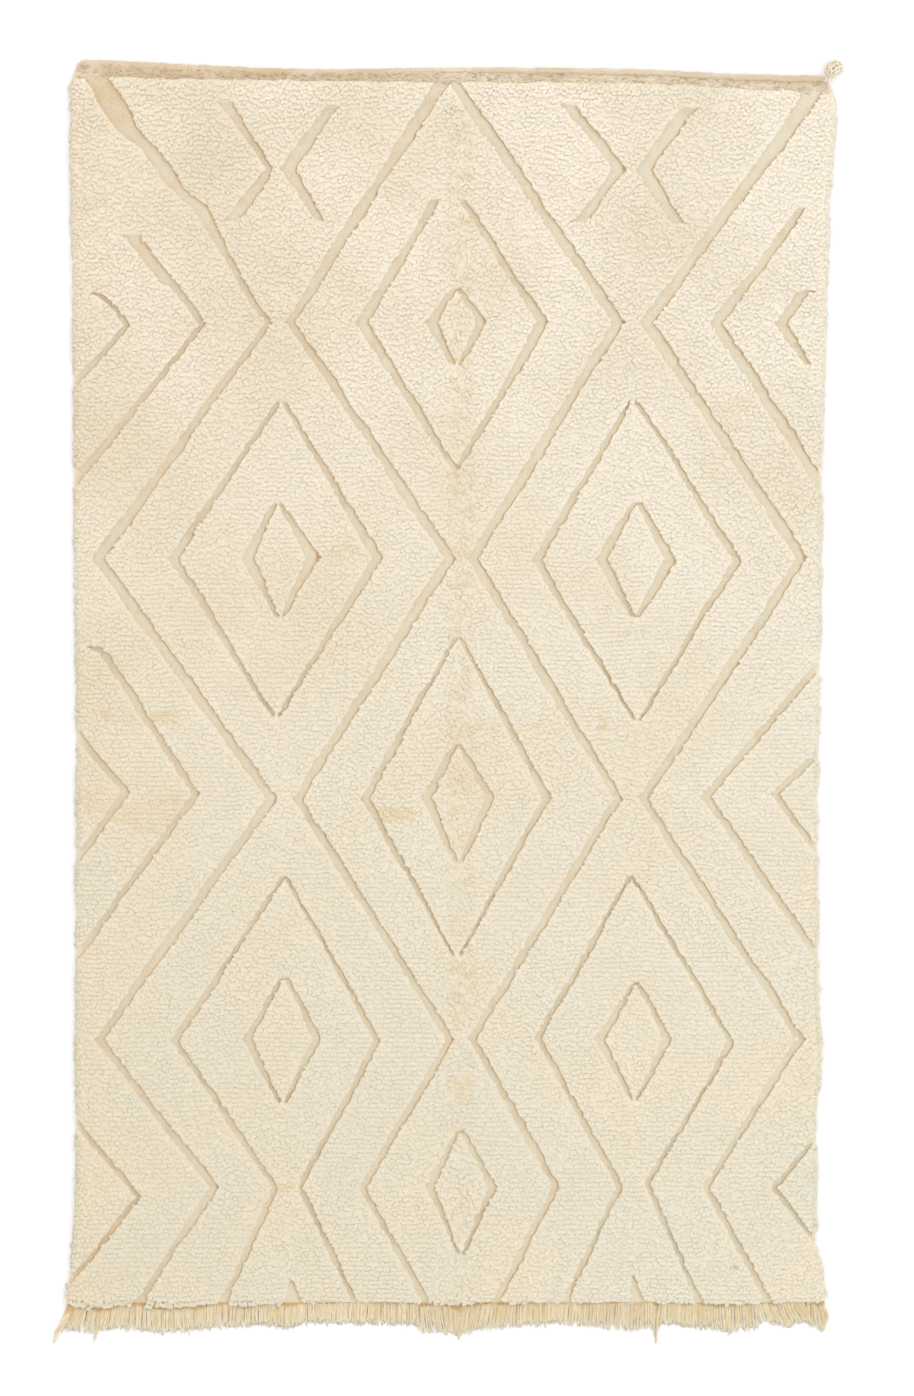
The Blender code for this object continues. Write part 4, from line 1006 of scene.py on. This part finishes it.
# Where the cut ends lie: place x, level y, in millimetres.
FRINGE_ENDS = [
    (-800, -1322), (-733, -1328), (-680, -1318), (-600, -1329), (-410, -1312), (-336, -1322),
    (-292, -1309), (-110, -1312), (-68, -1313), (-61, -1328), (19, -1332), (80, -1322), (221, -1309),
    (386, -1323), (460, -1310), (594, -1329), (640, -1319), (655, -1308), (685, -1318), (735, -1304),
    (752, -1312), (777, -1325), (800, -1318),
]
LONG_TUFTS, TUFT_REACH = ((-733, -1342), (23, -1338), (441, -1348)), 0.0048
# How far strands lean to the right from root to end: place x, lean.
FRINGE_LEAN = [
    (-800, -20), (-776, -15), (-700, -6), (-560, 2), (-300, -1), (-66, 0), (-58, 4), (-38, 16),
    (-20, 14), (0, 8), (20, 0), (50, -14), (75, -20), (100, -10), (130, -3), (300, -2), (560, 3),
    (630, 7), (670, 18), (735, 24), (748, 20), (752, -1), (770, 10), (788, 3),
]
MISSING_STRANDS = (0.7490, 0.7560)
# The thick lock of the left selvedge: x, y and width of each section.
SELVEDGE_LOCK = [(-788, -1262, 13), (-797, -1282, 15), (-808, -1303, 15), (-821, -1327, 13),
                 (-829, -1346, 6)]
LOCK_PLIES, LOCK_TURNS_IN_ALL, LOCK_POINTS, LOCK_FRAYS, LEFTMOST = 3, 1.6, 26, 14, -0.8330

strands, frays, underlying = [], [], []
for x in np.linspace(FRINGE_FIRST, FRINGE_LAST, round((FRINGE_LAST - FRINGE_FIRST) / FRINGE_PITCH)):
    if MISSING_STRANDS[0] < x < MISSING_STRANDS[1]:
        continue
    roll = dice.normal(size=6)
    end = np.interp(x, *column(FRINGE_ENDS, 1)) + 0.0055 + 0.0030 * roll[0]
    lean = np.interp(x, *column(FRINGE_LEAN, 1)) + 0.0014 * roll[1] + 0.0050 * uneven(LEAN_GROUPS, x, 0)
    for place, reach in LONG_TUFTS:
        pull = math.exp(-((x - place * MM) / TUFT_REACH) ** 2)
        end += pull * (reach * MM - end)
        lean += 0.85 * pull * (place * MM - x)
    bend = 0.0009 * roll[2] + 0.0100 * smooth(x, 0.772, 0.788)
    layer = 0.0027 + 0.0010 * abs(roll[3])
    start, foot = x + 0.0006 * roll[4], pile_foot(x)
    middle = 0.5 * (end + foot)
    line = eased([(start, foot + 0.0200, 0.0030), (start + 0.15 * lean, foot, layer + 0.0008),
                  (start + 0.5 * lean + bend, middle, layer), (start + lean, end, 0.0022)], STRAND_POINTS)
    if len(strands) % 2:
        hidden = [(start, foot + 0.0120, 0.0026), (start + 0.4 * lean + 0.0012, middle, 0.0019),
                  (start + 0.85 * lean + 0.0010 * roll[0], end + 0.0050, 0.0017)]
        underlying.append((eased(hidden, len(UNDERSIDE_WIDTHS)), UNDERSIDE_WIDTHS))
    half = STRAND_HALF * (1 + 0.12 * roll[5])
    strands.append((line, half * np.interp(np.linspace(0, 1, STRAND_POINTS), *STRAND_TAPER)))
    for side in (-1, 1):
        spread = dice.normal(size=3)
        tip = line[-1] + (0.0012 * spread[0] + 0.0016 * side, -0.0035 - 0.0018 * abs(spread[1]), 0)
        tip[2] = max(0.0008, 0.0014 + 0.0008 * spread[2])
        frays.append((eased([line[-4], line[-1] + (0.0006 * side, 0.0015, 0), tip], 4), FRAY_WIDTHS))

lock_shares = np.linspace(0, 1, LOCK_POINTS)
lock_line = eased([(x * MM, y * MM, 0.42 * width * MM) for x, y, width in SELVEDGE_LOCK], LOCK_POINTS)
lock_width = np.interp(lock_shares, np.linspace(0, 1, 5), [width * MM for _, _, width in SELVEDGE_LOCK])
for ply in range(LOCK_PLIES):
    angle = 2 * math.pi * (ply / LOCK_PLIES + LOCK_TURNS_IN_ALL * lock_shares)
    offset = np.stack([0.24 * lock_width * np.cos(angle), 0 * angle, 0.16 * lock_width * np.sin(angle)], 1)
    strands.append((lock_line + offset, 0.25 * lock_width))
for _ in range(LOCK_FRAYS):
    spread = dice.normal(size=3)
    tip = lock_line[-1] + (0.0020 * spread[0], -0.0020 - 0.0010 * abs(spread[1]), 0)
    tip[0], tip[2] = max(tip[0], LEFTMOST), 0.0012 + 0.0006 * abs(spread[2])
    frays.append((eased([lock_line[-6], lock_line[-2], tip], 5), LOCK_FRAY_WIDTHS))

# Handspun two-ply warp wool: straw to cream from one strand to the next, orange-tan where it comes out of the
# cloth, partly its own colour and partly painted shade under the pile's edge.  The strands of the lower layer
# lie in shade and are darker.
warp_wool = spun_wool("spun_warp_wool", "E3C48F", "ECDAB4", "F5EBD2", "F1E8CF")
lower_wool = spun_wool("lower_warp_wool", "DDBD88", "E4CFA4", "EBDAB4", "EFE4C8")
for name, lines_given, turn_length, sides, flat, fuzz, finish in (
        ("warp_fringe_strands", strands, 0.046, 5, 0.74, 0.0007, warp_wool),
        ("warp_fringe_ends", frays, 0.010, 3, 0.74, 0.0012, warp_wool),
        ("warp_fringe_underside", underlying, 90.0, 4, 0.45, 0.0004, lower_wool)):
    piece = grown(name, yarn_mesh(lines_given, turn_length), strand_tree, strand_sockets, sides=sides,
                  flatness=flat, fuzz=fuzz, fuzz_pitch=FRINGE_FUZZ_PITCH, wool=finish)
    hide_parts("warp_fringe")


# ---------------------------------------------------------------- corner tassel
# The heading cord's end turns in a loop at the right corner and is tied off in a ragged tassel of
# cut yarn ends, bound round its neck.

TASSEL_NECK = (0.8030, 1.3180, 0.0090)
TASSEL_MIDDLE, TASSEL_REACH = (0.8126, 1.3345, 0.0112), (0.0190, 0.0160, 0.0095)
TASSEL_YARNS, GOLDEN_ANGLE = 120, 2.399963
TASSEL_LOW, TASSEL_HIGH = (0.0, 0.0, 0.0016), (0.8320, 1.3505, 0.0236)
TASSEL_HALF, TASSEL_TAPER = 0.0023, ((0, 0.3, 0.8, 1), (0.7, 1.0, 1.1, 0.5))
WRAP_HALF, WRAP_TURNS, LOOP_HALF, LOOP_POINTS = 0.0013, 3.2, 0.0021, 44
LOOP_WAY = [(0.7890, 1.3080, 0.0070), (0.7950, 1.3045, 0.0100), (0.8010, 1.3065, 0.0105),
            (0.8000, 1.3120, 0.0085), (0.7940, 1.3125, 0.0070), (0.7975, 1.3065, 0.0125),
            (0.8040, 1.3110, 0.0110), TASSEL_NECK]

yarns = []
for k in range(TASSEL_YARNS):
    height = 1 - 2 * (k + 0.5) / TASSEL_YARNS
    ring = math.sqrt(1 - height * height)
    way = np.array([ring * math.cos(GOLDEN_ANGLE * k), ring * math.sin(GOLDEN_ANGLE * k), height])
    roll = dice.normal(size=4)
    tip = np.array(TASSEL_MIDDLE) + way * TASSEL_REACH * ((0.96, 0.90, 0.74)[k % 3] + 0.06 * roll[0])
    middle = 0.35 * np.array(TASSEL_NECK) + 0.65 * tip + way * TASSEL_REACH * 0.10 + 0.0022 * roll[1:]
    line = np.clip(eased([TASSEL_NECK, middle, tip], 9), TASSEL_LOW, TASSEL_HIGH)
    yarns.append((line, TASSEL_HALF * np.interp(np.linspace(0, 1, 9), *TASSEL_TAPER)))
turns = np.linspace(0, 2 * math.pi * WRAP_TURNS, 60)
wrap = np.stack([0.0045 * np.cos(turns), 0.0004 * turns - 0.004 + 0.0022 * np.cos(turns),
                 0.0052 * np.sin(turns)], 1)
yarns.append((TASSEL_NECK + wrap, np.full(len(turns), WRAP_HALF)))
yarns.append((eased(LOOP_WAY, LOOP_POINTS), np.full(LOOP_POINTS, LOOP_HALF)))
# The same undyed wool, cut and teased out: the palest of the yarns, as its ends catch the light.
tassel_wool = spun_wool("tassel_wool", "F6EACD", "F7ECD2", "FCF5E4", "FBF2DE")
tassel = grown("corner_tassel_yarns", yarn_mesh(yarns, 0.009), strand_tree, strand_sockets, sides=6,
               flatness=0.74, fuzz=0.0009, fuzz_pitch=0.004, wool=tassel_wool)
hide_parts("corner_tassel")
